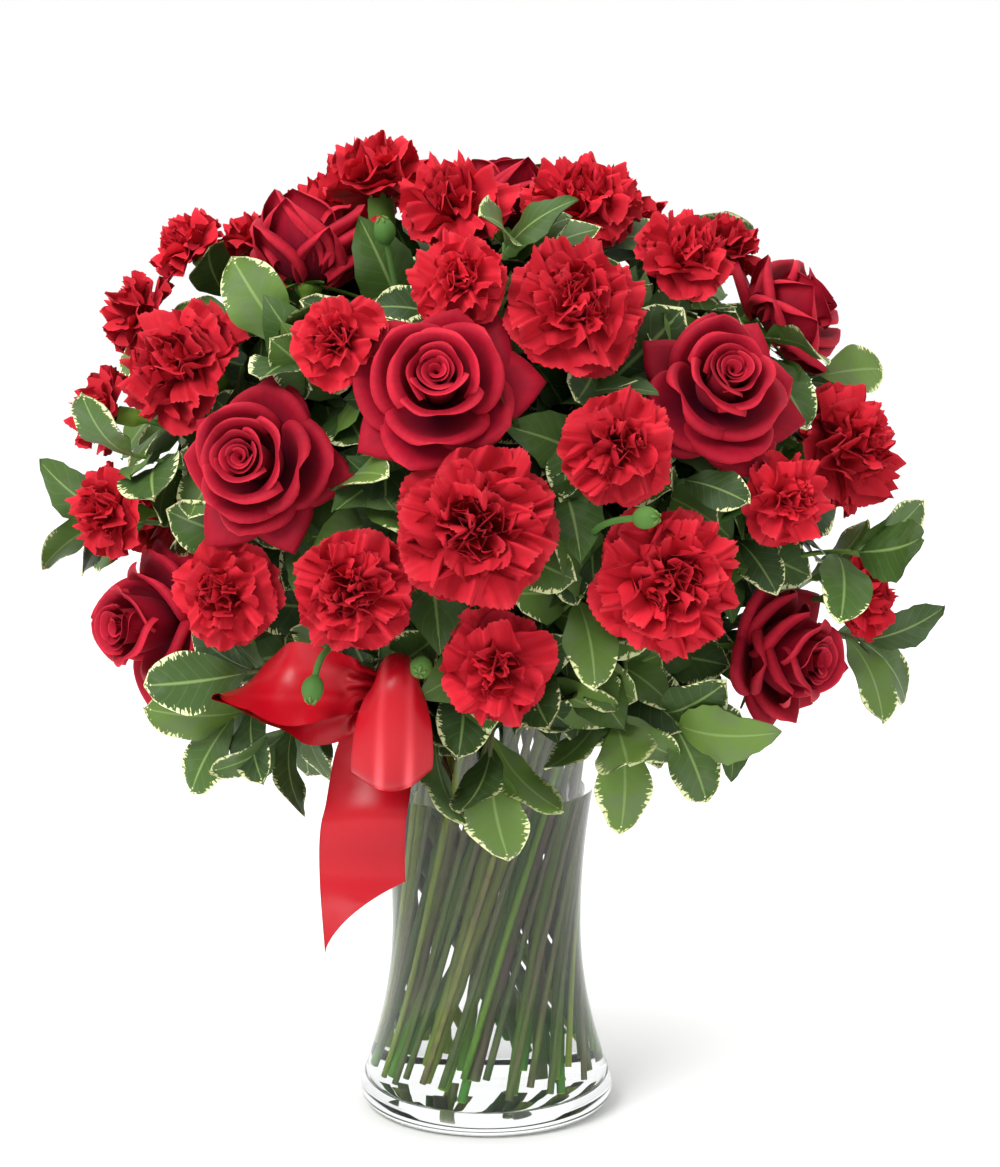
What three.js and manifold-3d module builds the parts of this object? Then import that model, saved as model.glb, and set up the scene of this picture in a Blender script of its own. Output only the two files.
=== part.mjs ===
// A round bouquet of red carnations, spray carnations and roses in a flared glass vase,
// with variegated leaves and a satin bow on a wire pick.
// Millimetres, +Z up, the front towards -Y. The origin is the centre of the vase's foot.
import * as THREE from "three";
import Module from "manifold-3d";

const wasm = await Module();
wasm.setup();

// Driving dimensions of the vase and its water
const VASE_HEIGHT = 198;
const VASE_WAIST_HEIGHT = 84;
const VASE_WAIST_RADIUS = 42.4;
const VASE_LOWER_FLARE = 0.0027;
const VASE_UPPER_FLARE = 0.0014;
const VASE_FOOT_RADIUS = 51;
const VASE_WALL = 3.4;
const VASE_FLOOR = 9;
const VASE_LIP = 1.5;
const VASE_SIDES = 20;
// Heights at which the vase's round outside and inside are drawn
const OUTSIDE_HEIGHTS = [9, 32, 58, 84, 120, 160, VASE_HEIGHT - VASE_LIP];
const INSIDE_HEIGHTS = [20, 48, 84, 130];
// The corner where the wall meets the floor inside: how far in it starts, and a point on its curve
const CORNER_WIDTH = 6;
const CORNER_POINT = { inset: 1.5, rise: 3 };
const WATER_LEVEL = 146;

// Thicknesses and clearances
const GAP = 0.35;
const LEAF_THICKNESS = 0.9;
const SATIN_THICKNESS = 0.9;
const TWIG_RADIUS = 1.6;
const WIRE_RADIUS = 0.9;

// Sides of the rods that stand for stems of each thickness
const STEM_SIDES = 4;
const SPRAY_SIDES = 4;
const TWIG_SIDES = 3;

// Where the stems stand in the vase: each ring's radius low down and at the knee, where the stems
// start to fan out, and how far it twists between the two. Stems lean on their neighbours there.
const KNEE_HEIGHT = 188;
const LOW_HEIGHT = 32;
const OUTER_RING = { low: 35.5, knee: 36, twist: 74 };
const INNER_RING = { low: 21, knee: 31.5, twist: 140 };
const TWIG_RING = { low: 41.7, knee: 49.5, twist: 70 };
const INNER_REACH = 92;
const LEAN = 2.6;
// Heights at which neighbouring stems are cut off, in turn
const CUT_HEIGHTS = [11, 21.5, 14.5, 25, 18];
// How far a stem keeps to its line at its knee and at its end, as shares of the run between the two
const KNEE_PULL = 0.4;
const END_PULL = 0.35;
// How far up a spray's stem forks
const FORK_SHARE = 0.45;

// Twigs: the knee over the rim, the heights of their feet, and how they taper from point to point
const TWIG_KNEE_HEIGHT = VASE_HEIGHT + 6;
const TWIG_FEET = [13, 18, 23];
const TWIG_KNEE_PULL = 0.25;
const TWIG_TAPER = 0.1;

// Stems by kind of flower: radius of the stem, length and radius of the calyx or hip, and how deep the
// petals sit behind the middle of the head, as a share of the head's width
const KINDS = {
  rose: { stem: 2.7, calyx: 7, calyxRadius: 6, depth: 0.3 },
  carnation: { stem: 2.3, calyx: 20, calyxRadius: 6, depth: 0.2 },
  spray: { stem: 1.4, calyx: 13, calyxRadius: 4.2, depth: 0.2 },
};

// Every bloom: its kind, the middle of its head, the way it faces and its width across the petals.
// A way is degrees round from the front, positive to the right, then degrees above level.
const BLOOMS = [
  ["rose_01", "rose", [-74, -22, 392], [165, 72], 66],
  ["rose_02", "rose", [-19, -124, 344], [-2, 24], 72],
  ["rose_03", "rose", [-96, -110, 309], [-18, 16], 68],
  ["rose_04", "rose", [99, -92, 340], [14, 30], 68],
  ["rose_05", "rose", [136, -6, 362], [92, 38], 62],
  ["rose_06", "rose", [-150, -46, 228], [-50, 2], 66],
  ["rose_07", "rose", [134, -50, 215], [50, 0], 66],
  ["rose_08", "rose", [6, 30, 408], [176, 62], 58],
  ["rose_09", "rose", [-28, 108, 370], [-168, 36], 68],
  ["rose_10", "rose", [84, 102, 332], [142, 24], 68],
  ["rose_11", "rose", [-112, 90, 318], [-130, 20], 68],
  ["carnation_01", "carnation", [-131, -52, 342], [-50, 28], 64],
  ["carnation_02", "carnation", [37, -98, 372], [10, 36], 66],
  ["carnation_03", "carnation", [-4, -142, 287], [4, 12], 74],
  ["carnation_04", "carnation", [75, -122, 260], [20, 4], 68],
  ["carnation_05", "carnation", [158, -24, 302], [64, 14], 62],
  ["carnation_06", "carnation", [-54, -131, 259], [-14, 6], 58],
  ["carnation_07", "carnation", [-46, 4, 418], [-170, 80], 58],
  ["carnation_08", "carnation", [42, -8, 408], [14, 58], 56],
  ["carnation_09", "carnation", [40, 130, 272], [163, 8], 64],
  ["carnation_10", "carnation", [-52, 128, 268], [-158, 6], 64],
  ["carnation_11", "carnation", [56, 66, 396], [140, 54], 62],
  ["carnation_12", "carnation", [-66, 60, 398], [-132, 54], 60],
  ["spray_carnation_01", "spray", [-14, -32, 408], [-10, 54], 58],
  ["spray_carnation_02", "spray", [-11, -96, 382], [-12, 34], 46],
  ["spray_carnation_03", "spray", [-130, -6, 388], [-76, 44], 42],
  ["spray_carnation_04", "spray", [-152, -8, 360], [-84, 30], 44],
  ["spray_carnation_05", "spray", [-168, -12, 316], [-84, 12], 42],
  ["spray_carnation_06", "spray", [-164, -32, 275], [-62, 6], 48],
  ["spray_carnation_07", "spray", [-108, -98, 251], [-16, 0], 50],
  ["spray_carnation_08", "spray", [-60, -106, 358], [-10, 26], 46],
  ["spray_carnation_09", "spray", [85, -36, 388], [30, 46], 50],
  ["spray_carnation_10", "spray", [54, -130, 318], [10, 16], 52],
  ["spray_carnation_11", "spray", [126, -90, 290], [34, 14], 44],
  ["spray_carnation_12", "spray", [164, -36, 238], [62, 6], 44],
  ["spray_carnation_13", "spray", [5, -121, 224], [0, -6], 54],
  ["spray_carnation_14", "spray", [106, 18, 386], [110, 54], 42],
  ["spray_carnation_15", "spray", [-104, 22, 388], [-112, 56], 40],
  ["spray_carnation_16", "spray", [-150, 48, 262], [-108, 6], 50],
  ["spray_carnation_17", "spray", [146, 54, 280], [110, 8], 50],
  ["spray_carnation_18", "spray", [106, 92, 232], [132, -4], 50],
  ["spray_carnation_19", "spray", [-100, 100, 228], [-136, -4], 50],
].map(([name, kind, at, way, span]) => ({
  name,
  kind,
  at: new THREE.Vector3(...at),
  facing: direction(...way),
  span,
}));

// The share of the way to a neighbour from which a bloom's petals are pressed in, and how far off, as a
// share of the two blooms' radii, a neighbour still matters
const PRESSED_FROM = 0.6;
const PRESS_REACH = 1.5;

// Spray carnations that branch from one stem
const SPRAY_STEMS = [
  ["01", "02", "08"],
  ["03", "04", "15"],
  ["05", "06", "16"],
  ["07", "13"],
  ["09", "14"],
  ["10", "11"],
  ["12", "17"],
  ["18"],
  ["19"],
];

// Closed buds on the spray stems: the stem's place in the list above, the bud's middle and its way
const BUDS = [
  [3, [-70, -125, 217], [-14, -55]],
  [3, [-26, -124, 226], [-6, -10]],
  [5, [64, -150, 292], [52, 8]],
  [0, [-42, -60, 398], [-30, 70]],
];
const BUD = { stem: 1.2, length: 12, radius: 4.6 };

// Leafy twigs: the way each leaves the vase, then its tips: where each is, the way it points,
// how far its leaves spread from that way, in degrees, and how many there are
const TWIGS = [
  ["leaf_spray_01", 8, [
    [[2, -80, 178], [0, -66], 34, 3],
    [[-24, -78, 184], [-20, -62], 24, 2],
    [[40, -104, 252], [24, 20], 66, 2],
  ]],
  ["leaf_spray_02", 44, [
    [[56, -82, 192], [24, -46], 48, 4],
    [[82, -72, 190], [40, -30], 60, 4],
    [[106, -48, 192], [62, -24], 60, 3],
  ]],
  ["leaf_spray_03", 70, [
    [[168, -8, 214], [80, -10], 60, 4],
    [[158, -58, 262], [60, 0], 60, 3],
  ]],
  ["leaf_spray_04", 109, [
    [[150, 4, 332], [70, 20], 66, 3],
    [[118, -38, 350], [30, 30], 66, 3],
    [[150, 40, 232], [112, -10], 66, 3],
  ]],
  ["leaf_spray_05", 18, [
    [[70, -44, 372], [20, 50], 62, 3],
    [[34, -104, 322], [10, 20], 66, 3],
    [[82, -92, 298], [30, 16], 66, 3],
  ]],
  ["leaf_spray_06", 154, [
    [[70, 90, 196], [142, -30], 56, 4],
    [[20, 96, 214], [168, -20], 60, 3],
    [[88, 62, 376], [130, 50], 62, 3],
  ]],
  ["leaf_spray_07", 195, [
    [[-30, 96, 204], [-164, -26], 60, 4],
    [[0, 118, 316], [178, 20], 66, 3],
    [[14, 88, 388], [172, 50], 62, 3],
  ]],
  ["leaf_spray_08", 225, [
    [[-86, 74, 198], [-130, -24], 60, 3],
    [[-128, 20, 214], [-98, -20], 60, 3],
    [[-96, 100, 268], [-136, 6], 66, 3],
  ]],
  ["leaf_spray_09", 274, [
    [[-140, 34, 326], [-104, 26], 66, 3],
    [[-112, -14, 366], [-60, 50], 56, 4],
  ]],
  ["leaf_spray_10", 298, [
    [[-150, -48, 302], [-60, 10], 62, 5],
    [[-166, 10, 264], [-80, 0], 50, 4],
  ]],
  ["leaf_spray_11", 320, [
    [[-108, -56, 190], [-58, -34], 56, 4],
    [[-82, -66, 188], [-38, -50], 44, 4],
    [[-100, -78, 214], [-50, -6], 66, 3],
  ]],
  ["leaf_spray_12", 343, [
    [[-82, -58, 350], [-40, 40], 62, 3],
    [[-62, -92, 296], [-30, 16], 66, 3],
    [[8, -52, 392], [0, 56], 60, 4],
  ]],
].map(([name, round, tips]) => ({
  name,
  round,
  tips: tips.map(([at, way, spread, leaves]) => ({
    at: new THREE.Vector3(...at),
    along: direction(...way),
    spread,
    leaves,
  })),
}));
const LEAF_LENGTH = 42;
const LEAF_WIDTH = 22;
const LEAF_STAGGER = 5;
const GOLDEN_ANGLE = 137.5;
const LEAF_CLEARANCE = 6.5;
const OWN_CLEARANCE = 4;
const CALYX_CLEARANCE = 2;
// How near a bloom's middle a leaf may come, as a share of the bloom's width
const BLOOM_CLEARANCE = 0.56;
// How close together the points lie that stand for a stem or a ribbon in those tests
const SAMPLE_STEP = 5;
// Turns in degrees and sizes that a leaf tries in turn, until it is clear
const LEAF_TRIES = [
  [0, 1], [30, 1], [-30, 1], [60, 0.9], [-60, 0.9], [90, 0.8], [-90, 0.8], [140, 0.8], [0, 0.65],
];

// The satin bow: runs of ribbon from the knot, each a list of the middle of the ribbon, the way its
// width lies and how wide it is there, since it is gathered at the knot
const KNOT = { front: [-40, -98, 208], back: [-40, -85, 208], radius: 8, sides: 6 };
const RIBBON_RUNS = [
  [
    [[-42, -94, 210], [0, 0.2, 1], 10],
    [[-56, -105, 212], [0.1, 0.3, 1], 24],
    [[-78, -110, 210], [0.1, 0.3, 1], 37],
    [[-99, -107, 207], [0.25, 0, 1], 36],
    [[-108, -99, 204], [0.3, -0.3, 0.9], 32],
    [[-99, -92, 201], [0.2, 0.1, 1], 34],
    [[-78, -89, 200], [0.1, 0.2, 1], 34],
    [[-58, -89, 203], [0, 0.1, 1], 22],
    [[-43, -89, 206], [0, 0, 1], 10],
  ],
  [
    [[-37, -94, 212], [1, 0, 0], 9],
    [[-35, -104, 219], [1, 0, 0], 20],
    [[-36, -115, 213], [1, 0, 0], 27],
    [[-37, -121, 197], [1, 0, 0.05], 36],
    [[-38, -119, 181], [1, 0, 0.05], 37],
    [[-38, -109, 176], [1, 0, 0.05], 37],
    [[-37, -102, 190], [1, 0, 0], 28],
    [[-38, -95, 204], [1, 0, 0], 9],
  ],
  [
    [[-41, -89, 204], [1, 0, 0], 9],
    [[-43, -84, 190], [1, 0, 0], 26],
    [[-47, -81, 168], [1, -0.05, 0.1], 36],
    [[-52, -78, 142], [1, -0.1, 0.15], 37],
    [[-53, -82, 120], [1, -0.05, 0.25], 37],
    [[-51, -88, 101], [1, 0, 0.42], 35],
  ],
];
const PICK = [
  [-40, -84.6, 208],
  [-33, -70, 203],
  [-26.7, -52.5, 199.3],
  [-23, -43, 194],
  [-26, -38, 176],
  [-30, -32, 152],
];

// Heads of petals. Each layer is a whorl of petals: how many, their reach and rise at the rim, how
// pointed or notched the rim is, how it curls and how much one petal laps the next. The valleys lie
// inside each whorl. All are shares of the bloom's radius.
const RIM_JITTER = 0.08;
const HEADS = {
  rose: {
    stations: 15,
    foot: 0.15,
    belly: [0.6, 0.34],
    layers: [
      { petals: 5, reach: 1, rise: 0.6, point: 0.16, curl: -0.14, lap: 0.05 },
      { petals: 5, reach: 0.66, rise: 1, point: 0.03, curl: 0.03, lap: 0.06 },
      { petals: 3, reach: 0.42, rise: 1.12, point: 0, curl: 0.03, lap: 0.07 },
    ],
    valleys: [[0.58, 0.7], [0.36, 0.82], [0, 1.06]],
  },
  carnation: {
    stations: 15,
    foot: 0.15,
    layers: [
      { petals: 5, reach: 1, rise: 0.18, point: 0.1, curl: 0.1, lap: 0.02 },
      { petals: 5, reach: 0.86, rise: 0.52, point: 0.08, curl: 0.12, lap: 0.02 },
      { petals: 5, reach: 0.52, rise: 0.84, point: 0.06, curl: 0.1, lap: 0.03 },
    ],
    valleys: [[0.46, 0.3], [0.3, 0.56], [0, 0.62]],
  },
  spray: {
    stations: 12,
    foot: 0.15,
    layers: [
      { petals: 4, reach: 1, rise: 0.3, point: 0.12, curl: 0.12, lap: 0.02 },
      { petals: 4, reach: 0.66, rise: 0.78, point: 0.08, curl: 0.12, lap: 0.03 },
    ],
    valleys: [[0.4, 0.44], [0, 0.6]],
  },
};

// Materials
const finish = (color, roughness) =>
  new THREE.MeshStandardMaterial({ color, roughness, metalness: 0 });
const CARNATION_RED = finish(0xcf1424, 0.75);
const ROSE_RED = finish(0xb00d22, 0.6);
const STEM_GREEN = finish(0x5c7a35, 0.6);
const LEAF_GREEN = finish(0x3d6b2c, 0.5);
const SATIN_RED = finish(0xd11a2b, 0.35);
const WIRE_GREEN = finish(0x2f4a2a, 0.5);
const CLEAR_GLASS = finish(0xe8f0ee, 0.05);
const CLEAR_WATER = finish(0xdfe9e6, 0.05);
CLEAR_GLASS.transparent = CLEAR_WATER.transparent = true;
CLEAR_GLASS.opacity = CLEAR_WATER.opacity = 0.35;

// A unit vector from degrees round from the front and degrees above level
function direction(round, above) {
  const a = THREE.MathUtils.degToRad(round);
  const e = THREE.MathUtils.degToRad(above);
  return new THREE.Vector3(
    Math.sin(a) * Math.cos(e),
    -Math.cos(a) * Math.cos(e),
    Math.sin(e),
  );
}

// A point at a radius and a height, at degrees round from the front
function around(radius, round, height) {
  return direction(round, 0).multiplyScalar(radius).setZ(height);
}

const roundOf = (p) => THREE.MathUtils.radToDeg(Math.atan2(p.x, -p.y));
const away = (p, way, length) => p.clone().addScaledVector(way, length);

// The same run of numbers between 0 and 1 for the same seed
function seededRandom(seed) {
  let state = seed >>> 0;
  return () => {
    state = (state + 0x6d2b79f5) >>> 0;
    let t = Math.imul(state ^ (state >>> 15), state | 1);
    t ^= t + Math.imul(t ^ (t >>> 7), t | 61);
    return ((t ^ (t >>> 14)) >>> 0) / 4294967296;
  };
}

// A closed solid from corner points and triangles
function solidOf(points, triangles) {
  return new wasm.Manifold(
    new wasm.Mesh({
      numProp: 3,
      vertProperties: new Float32Array(points.flatMap((p) => [p.x, p.y, p.z])),
      triVerts: new Uint32Array(triangles.flat()),
    }),
  );
}

// A solid skinned over loops of equal length, closed at both ends by a point
function skin(loops, first, last) {
  const n = loops[0].length;
  const points = [...loops.flat(), first, last];
  const [start, end] = [points.length - 2, points.length - 1];
  const triangles = [];
  for (let k = 0; k < n; k++) {
    const next = (k + 1) % n;
    triangles.push([start, next, k]);
    for (let i = 0; i + 1 < loops.length; i++) {
      const low = i * n;
      const high = low + n;
      triangles.push([low + k, low + next, high + next]);
      triangles.push([low + k, high + next, high + k]);
    }
    const top = (loops.length - 1) * n;
    triangles.push([top + k, top + next, end]);
  }
  return solidOf(points, triangles);
}

// A round rod through points, with a radius at each
function rod(points, radii, sides) {
  let side = new THREE.Vector3(1, 0, 0);
  const loops = points.map((p, i) => {
    const before = points[Math.max(i - 1, 0)];
    const after = points[Math.min(i + 1, points.length - 1)];
    const along = after.clone().sub(before).normalize();
    side = away(side, along, -side.dot(along)).normalize();
    const up = along.clone().cross(side);
    return Array.from({ length: sides }, (_, k) => {
      const a = (2 * Math.PI * k) / sides;
      return away(away(p, side, radii[i] * Math.cos(a)), up, radii[i] * Math.sin(a));
    });
  });
  return skin(loops, points[0], points[points.length - 1]);
}

const rodOf = ({ points, radii, sides }) => rod(points, radii, sides);
const joined = (solids) => solids.reduce((all, s) => all.add(s));

// A named mesh of a solid
function meshOf(name, solid, material) {
  const made = solid.getMesh();
  const geometry = new THREE.BufferGeometry();
  geometry.setAttribute(
    "position",
    new THREE.BufferAttribute(made.vertProperties, 3),
  );
  geometry.setIndex(new THREE.BufferAttribute(made.triVerts, 1));
  geometry.computeVertexNormals();
  const mesh = new THREE.Mesh(geometry, material);
  mesh.name = name;
  return mesh;
}

// The vase's outer radius at a height above its rounded foot
function vaseRadius(z) {
  const flare = z < VASE_WAIST_HEIGHT ? VASE_LOWER_FLARE : VASE_UPPER_FLARE;
  return VASE_WAIST_RADIUS + flare * (z - VASE_WAIST_HEIGHT) ** 2;
}

// The inside of the vase from its floor up to a height, drawn in by a margin, as radius and height pairs
function insideProfile(top, margin) {
  const inner = (z) => vaseRadius(z) - VASE_WALL - margin;
  const heights = INSIDE_HEIGHTS.filter((z) => z < top);
  const wallFoot = inner(heights[0]);
  return [
    [wallFoot - CORNER_WIDTH, VASE_FLOOR + margin],
    [wallFoot - CORNER_POINT.inset, VASE_FLOOR + CORNER_POINT.rise + margin],
    ...[...heights, top].map((z) => [inner(z), z]),
  ];
}

// A solid turned round the vase's axis, from a profile that starts and ends on it
function turned(pairs) {
  const profile = pairs.map(([r, z]) => new THREE.Vector2(r, z));
  const lathe = new THREE.LatheGeometry(profile, VASE_SIDES);
  const position = lathe.getAttribute("position");
  const loops = profile.slice(1, -1).map((_, i) =>
    Array.from({ length: VASE_SIDES }, (_, k) => {
      const at = k * pairs.length + i + 1;
      const p = new THREE.Vector3().fromBufferAttribute(position, at);
      return new THREE.Vector3(p.z, p.x, p.y);
    }),
  );
  const onAxis = ([, z]) => new THREE.Vector3(0, 0, z);
  return skin(loops, onAxis(pairs[0]), onAxis(pairs[pairs.length - 1]));
}

function vase() {
  return turned([
    [0, 0],
    [VASE_FOOT_RADIUS, 0],
    [VASE_FOOT_RADIUS + 5, 3],
    ...OUTSIDE_HEIGHTS.map((z) => [vaseRadius(z), z]),
    [vaseRadius(VASE_HEIGHT) - VASE_WALL / 2, VASE_HEIGHT],
    ...insideProfile(VASE_HEIGHT - VASE_LIP, 0).reverse(),
    [0, VASE_FLOOR],
  ]);
}

// The water fills the vase to its level, with plain holes for what stands in it
function water(holes) {
  const body = turned([
    [0, VASE_FLOOR + GAP],
    ...insideProfile(WATER_LEVEL, GAP),
    [0, WATER_LEVEL],
  ]);
  return body.subtract(joined(holes));
}

// Each bloom keeps to its own side of the plane where a neighbour presses against it
for (const bloom of BLOOMS) {
  const radius = bloom.span / 2;
  bloom.turn = new THREE.Quaternion().setFromUnitVectors(
    new THREE.Vector3(0, 0, 1),
    bloom.facing,
  );
  bloom.mouth = away(bloom.at, bloom.facing, -KINDS[bloom.kind].depth * bloom.span);
  bloom.walls = BLOOMS.filter((other) => other !== bloom).flatMap((other) => {
    const towards = other.at.clone().sub(bloom.at);
    const apart = towards.length();
    const reach = other.span / 2;
    if (apart > PRESS_REACH * (radius + reach)) return [];
    const far = (apart ** 2 + radius ** 2 - reach ** 2) / (2 * apart) - GAP;
    return [{ towards: towards.divideScalar(apart), far }];
  });
}

// A point of a bloom, drawn in along its ray from the bloom's middle where a neighbour is in the way
function pressed(bloom, point) {
  const ray = point.clone().sub(bloom.at);
  const length = ray.length();
  ray.divideScalar(length);
  let limit = Infinity;
  for (const { towards, far } of bloom.walls) {
    const slant = ray.dot(towards);
    if (slant > 0) limit = Math.min(limit, far / slant);
  }
  const free = PRESSED_FROM * limit;
  if (length <= free) return point;
  const give = limit - free;
  return away(bloom.at, ray, free + give * (1 - Math.exp(-(length - free) / give)));
}

// One bloom's petals, grown as one body in the bloom's own frame: rings of stations that run out along
// the underside of each whorl to its rim, and back down into the valley before the next whorl.
function head(bloom, seed) {
  const shape = HEADS[bloom.kind];
  const radius = bloom.span / 2;
  const random = seededRandom(seed);
  const back = bloom.turn.clone().invert();
  const place = (r, angle, z) => {
    const local = new THREE.Vector3(Math.cos(angle) * r, Math.sin(angle) * r, z);
    const world = local.multiplyScalar(radius).applyQuaternion(bloom.turn).add(bloom.mouth);
    return pressed(bloom, world).sub(bloom.mouth).applyQuaternion(back);
  };
  const ring = (at) =>
    Array.from({ length: shape.stations }, (_, k) =>
      place(...at(k, (2 * Math.PI * k) / shape.stations)),
    );
  const loops = [ring((k, angle) => [shape.foot, angle, 0])];
  if (shape.belly)
    loops.push(ring((k, angle) => [shape.belly[0], angle, shape.belly[1]]));
  shape.layers.forEach((layer, i) => {
    const perPetal = shape.stations / layer.petals;
    const shift = i % 2 === 0 ? 0 : Math.PI / shape.stations;
    const jitter = Array.from({ length: shape.stations }, () => [
      (random() - 0.5) * RIM_JITTER,
      (random() - 0.5) * RIM_JITTER,
    ]);
    loops.push(ring((k, angle) => {
      const across = (k % perPetal) / (perPetal - 1);
      const middle = 1 - Math.abs(2 * across - 1);
      const wave = k % 2 === 0 ? 1 : -1;
      const notch = k % perPetal === 0 ? -layer.point : layer.point * middle;
      const lap = layer.lap * (1 - 2 * across);
      const curl = layer.curl * (shape.belly ? middle : wave);
      return [
        layer.reach * (1 + notch) + lap + jitter[k][0],
        angle + shift,
        layer.rise + curl + jitter[k][1],
      ];
    }));
    if (i + 1 < shape.layers.length) {
      const [r, z] = shape.valleys[i];
      loops.push(ring((k, angle) => [r, angle + shift, z]));
    }
  });
  const crown = shape.valleys[shape.layers.length - 1];
  return skin(loops, place(0, 0, 0), place(crown[0], 0, crown[1]));
}

// Where the stems of a ring stand, in their order round the vase: each leans on one neighbour at its
// knee and on the other low down, and is cut at a height of its own
function standings(ring, count, firstRound) {
  const nudge = (radius) => ((2 * Math.PI * radius) / count - LEAN) / 2;
  return Array.from({ length: count }, (_, i) => {
    const lean = i % 2 === 0 ? 1 : -1;
    const round = firstRound + (360 * i) / count;
    const lowRound = round - ring.twist;
    const cut = CUT_HEIGHTS[i % CUT_HEIGHTS.length];
    const knee = around(ring.knee, round, KNEE_HEIGHT);
    const low = around(ring.low, lowRound, LOW_HEIGHT);
    knee.addScaledVector(direction(round + 90, 0), nudge(ring.knee) * lean);
    low.addScaledVector(direction(lowRound + 90, 0), -nudge(ring.low) * lean);
    const foot = knee.clone().lerp(low, (KNEE_HEIGHT - cut) / (KNEE_HEIGHT - LOW_HEIGHT));
    return { knee, foot };
  });
}

// A stem's way from its foot, straight to its knee and bent from there to an end and the way it points
function stemWay({ knee, foot }, end, facing, steps) {
  const run = end.distanceTo(knee);
  const up = knee.clone().sub(foot).normalize();
  const curve = new THREE.CubicBezierCurve3(
    knee,
    away(knee, up, KNEE_PULL * run),
    away(end, facing, -END_PULL * run),
    end,
  );
  return [foot, ...curve.getPoints(steps)];
}

// The last stretch of a stem under its petals: the neck, and the calyx or hip that widens from it
function calyxWay(bloom) {
  const { calyx, calyxRadius, stem } = KINDS[bloom.kind];
  const down = (d) => away(bloom.mouth, bloom.facing, -d);
  return {
    points: [down(calyx), down(calyx * 0.5), down(GAP)],
    radii: [stem * 1.2, calyxRadius, calyxRadius * 0.95],
  };
}

const bySpray = (n) => BLOOMS.find((b) => b.name === "spray_carnation_" + n);

// Every flower stem as a list of points and radii
function flowerStems() {
  const wanted = BLOOMS.filter((b) => b.kind !== "spray").map((bloom) => ({
    at: bloom.mouth,
    heads: [bloom],
    buds: [],
  }));
  SPRAY_STEMS.forEach((numbers, i) => {
    const heads = numbers.map(bySpray);
    const sum = heads.reduce((all, b) => all.add(b.mouth), new THREE.Vector3());
    const buds = BUDS.filter(([stem]) => stem === i);
    wanted.push({ at: sum.divideScalar(heads.length), heads, buds });
  });
  const inner = wanted.filter(({ at }) => Math.hypot(at.x, at.y) < INNER_REACH);
  const outer = wanted.filter((stem) => !inner.includes(stem));
  const ways = [];
  for (const [ring, stems] of [[INNER_RING, inner], [OUTER_RING, outer]]) {
    stems.sort((a, b) => roundOf(a.at) - roundOf(b.at));
    const first = roundOf(stems[0].at);
    const places = standings(ring, stems.length, first);
    stems.forEach((stem, i) => ways.push(...stemParts(stem, places[i])));
  }
  return ways;
}

// One stem: a single flower's runs on into its calyx, and a spray's forks into its heads and buds
function stemParts({ at, heads, buds }, place) {
  if (heads[0].kind !== "spray") {
    const [bloom] = heads;
    const { stem } = KINDS[bloom.kind];
    const end = calyxWay(bloom);
    const points = stemWay(place, end.points[0], bloom.facing, 3);
    const radii = points.map(() => stem);
    return [{
      points: [...points, ...end.points.slice(1)],
      radii: [...radii.slice(0, -1), ...end.radii],
      sides: STEM_SIDES,
    }];
  }
  const { stem } = KINDS.spray;
  const outward = at.clone().sub(place.knee).normalize();
  const fork = place.knee.clone().lerp(at, FORK_SHARE);
  const points = stemWay(place, fork, outward, 2);
  const branch = (end, facing) => {
    const run = end.distanceTo(fork);
    const bend = away(end, facing, -KNEE_PULL * run);
    return new THREE.QuadraticBezierCurve3(fork, bend, end).getPoints(2);
  };
  const ways = [{ points, radii: points.map(() => stem * 1.4), sides: STEM_SIDES }];
  for (const bloom of heads) {
    const end = calyxWay(bloom);
    const run = branch(end.points[0], bloom.facing);
    ways.push({
      points: [...run, ...end.points.slice(1)],
      radii: [stem, stem, ...end.radii],
      sides: SPRAY_SIDES,
    });
  }
  for (const [, middle, way] of buds) {
    const facing = direction(...way);
    const tip = (d) => away(new THREE.Vector3(...middle), facing, d * BUD.length);
    const run = branch(tip(-0.5), facing);
    ways.push({
      points: [...run, tip(-0.2), tip(0.2), tip(0.5)],
      radii: [BUD.stem, BUD.stem, BUD.stem, BUD.radius, BUD.radius * 0.8, 1],
      sides: SPRAY_SIDES,
    });
  }
  return ways;
}

// A twig's wood: the main shoot from its foot in the vase to its first tip, and side shoots to the others
function twigWays({ round, tips }, index) {
  const cut = TWIG_FEET[index % TWIG_FEET.length];
  const foot = around(TWIG_RING.low, round - TWIG_RING.twist, cut);
  const knee = around(TWIG_RING.knee, round, TWIG_KNEE_HEIGHT);
  const up = knee.clone().sub(foot).normalize();
  const [first, ...others] = tips;
  const reach = first.at.distanceTo(knee);
  const main = new THREE.CubicBezierCurve3(
    knee,
    away(knee, up, TWIG_KNEE_PULL * reach),
    away(first.at, first.along, -END_PULL * reach),
    first.at,
  );
  const mainRun = [foot, ...main.getPoints(3)];
  const taper = (points, start) => points.map((_, i) => start - TWIG_TAPER * i);
  const ways = [{ points: mainRun, radii: taper(mainRun, TWIG_RADIUS), sides: TWIG_SIDES }];
  for (const tip of others) {
    const fork = mainRun[2];
    const run = tip.at.distanceTo(fork);
    const bend = away(tip.at, tip.along, -KNEE_PULL * run);
    const points = new THREE.QuadraticBezierCurve3(fork, bend, tip.at).getPoints(2);
    ways.push({ points, radii: taper(points, TWIG_RADIUS - 0.2), sides: TWIG_SIDES });
  }
  return ways;
}

// A leaf's blade: its place is a share of its length along the rib, of its width across and of its
// length out of its upper side
function leafFrame(root, along, outward, length) {
  const side = along.clone().cross(outward).normalize();
  const up = side.clone().cross(along).normalize();
  const width = (LEAF_WIDTH * length) / LEAF_LENGTH;
  const at = (l, w, h) =>
    away(away(away(root, along, l * length), side, w * width), up, h * length);
  return { up, at };
}

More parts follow.
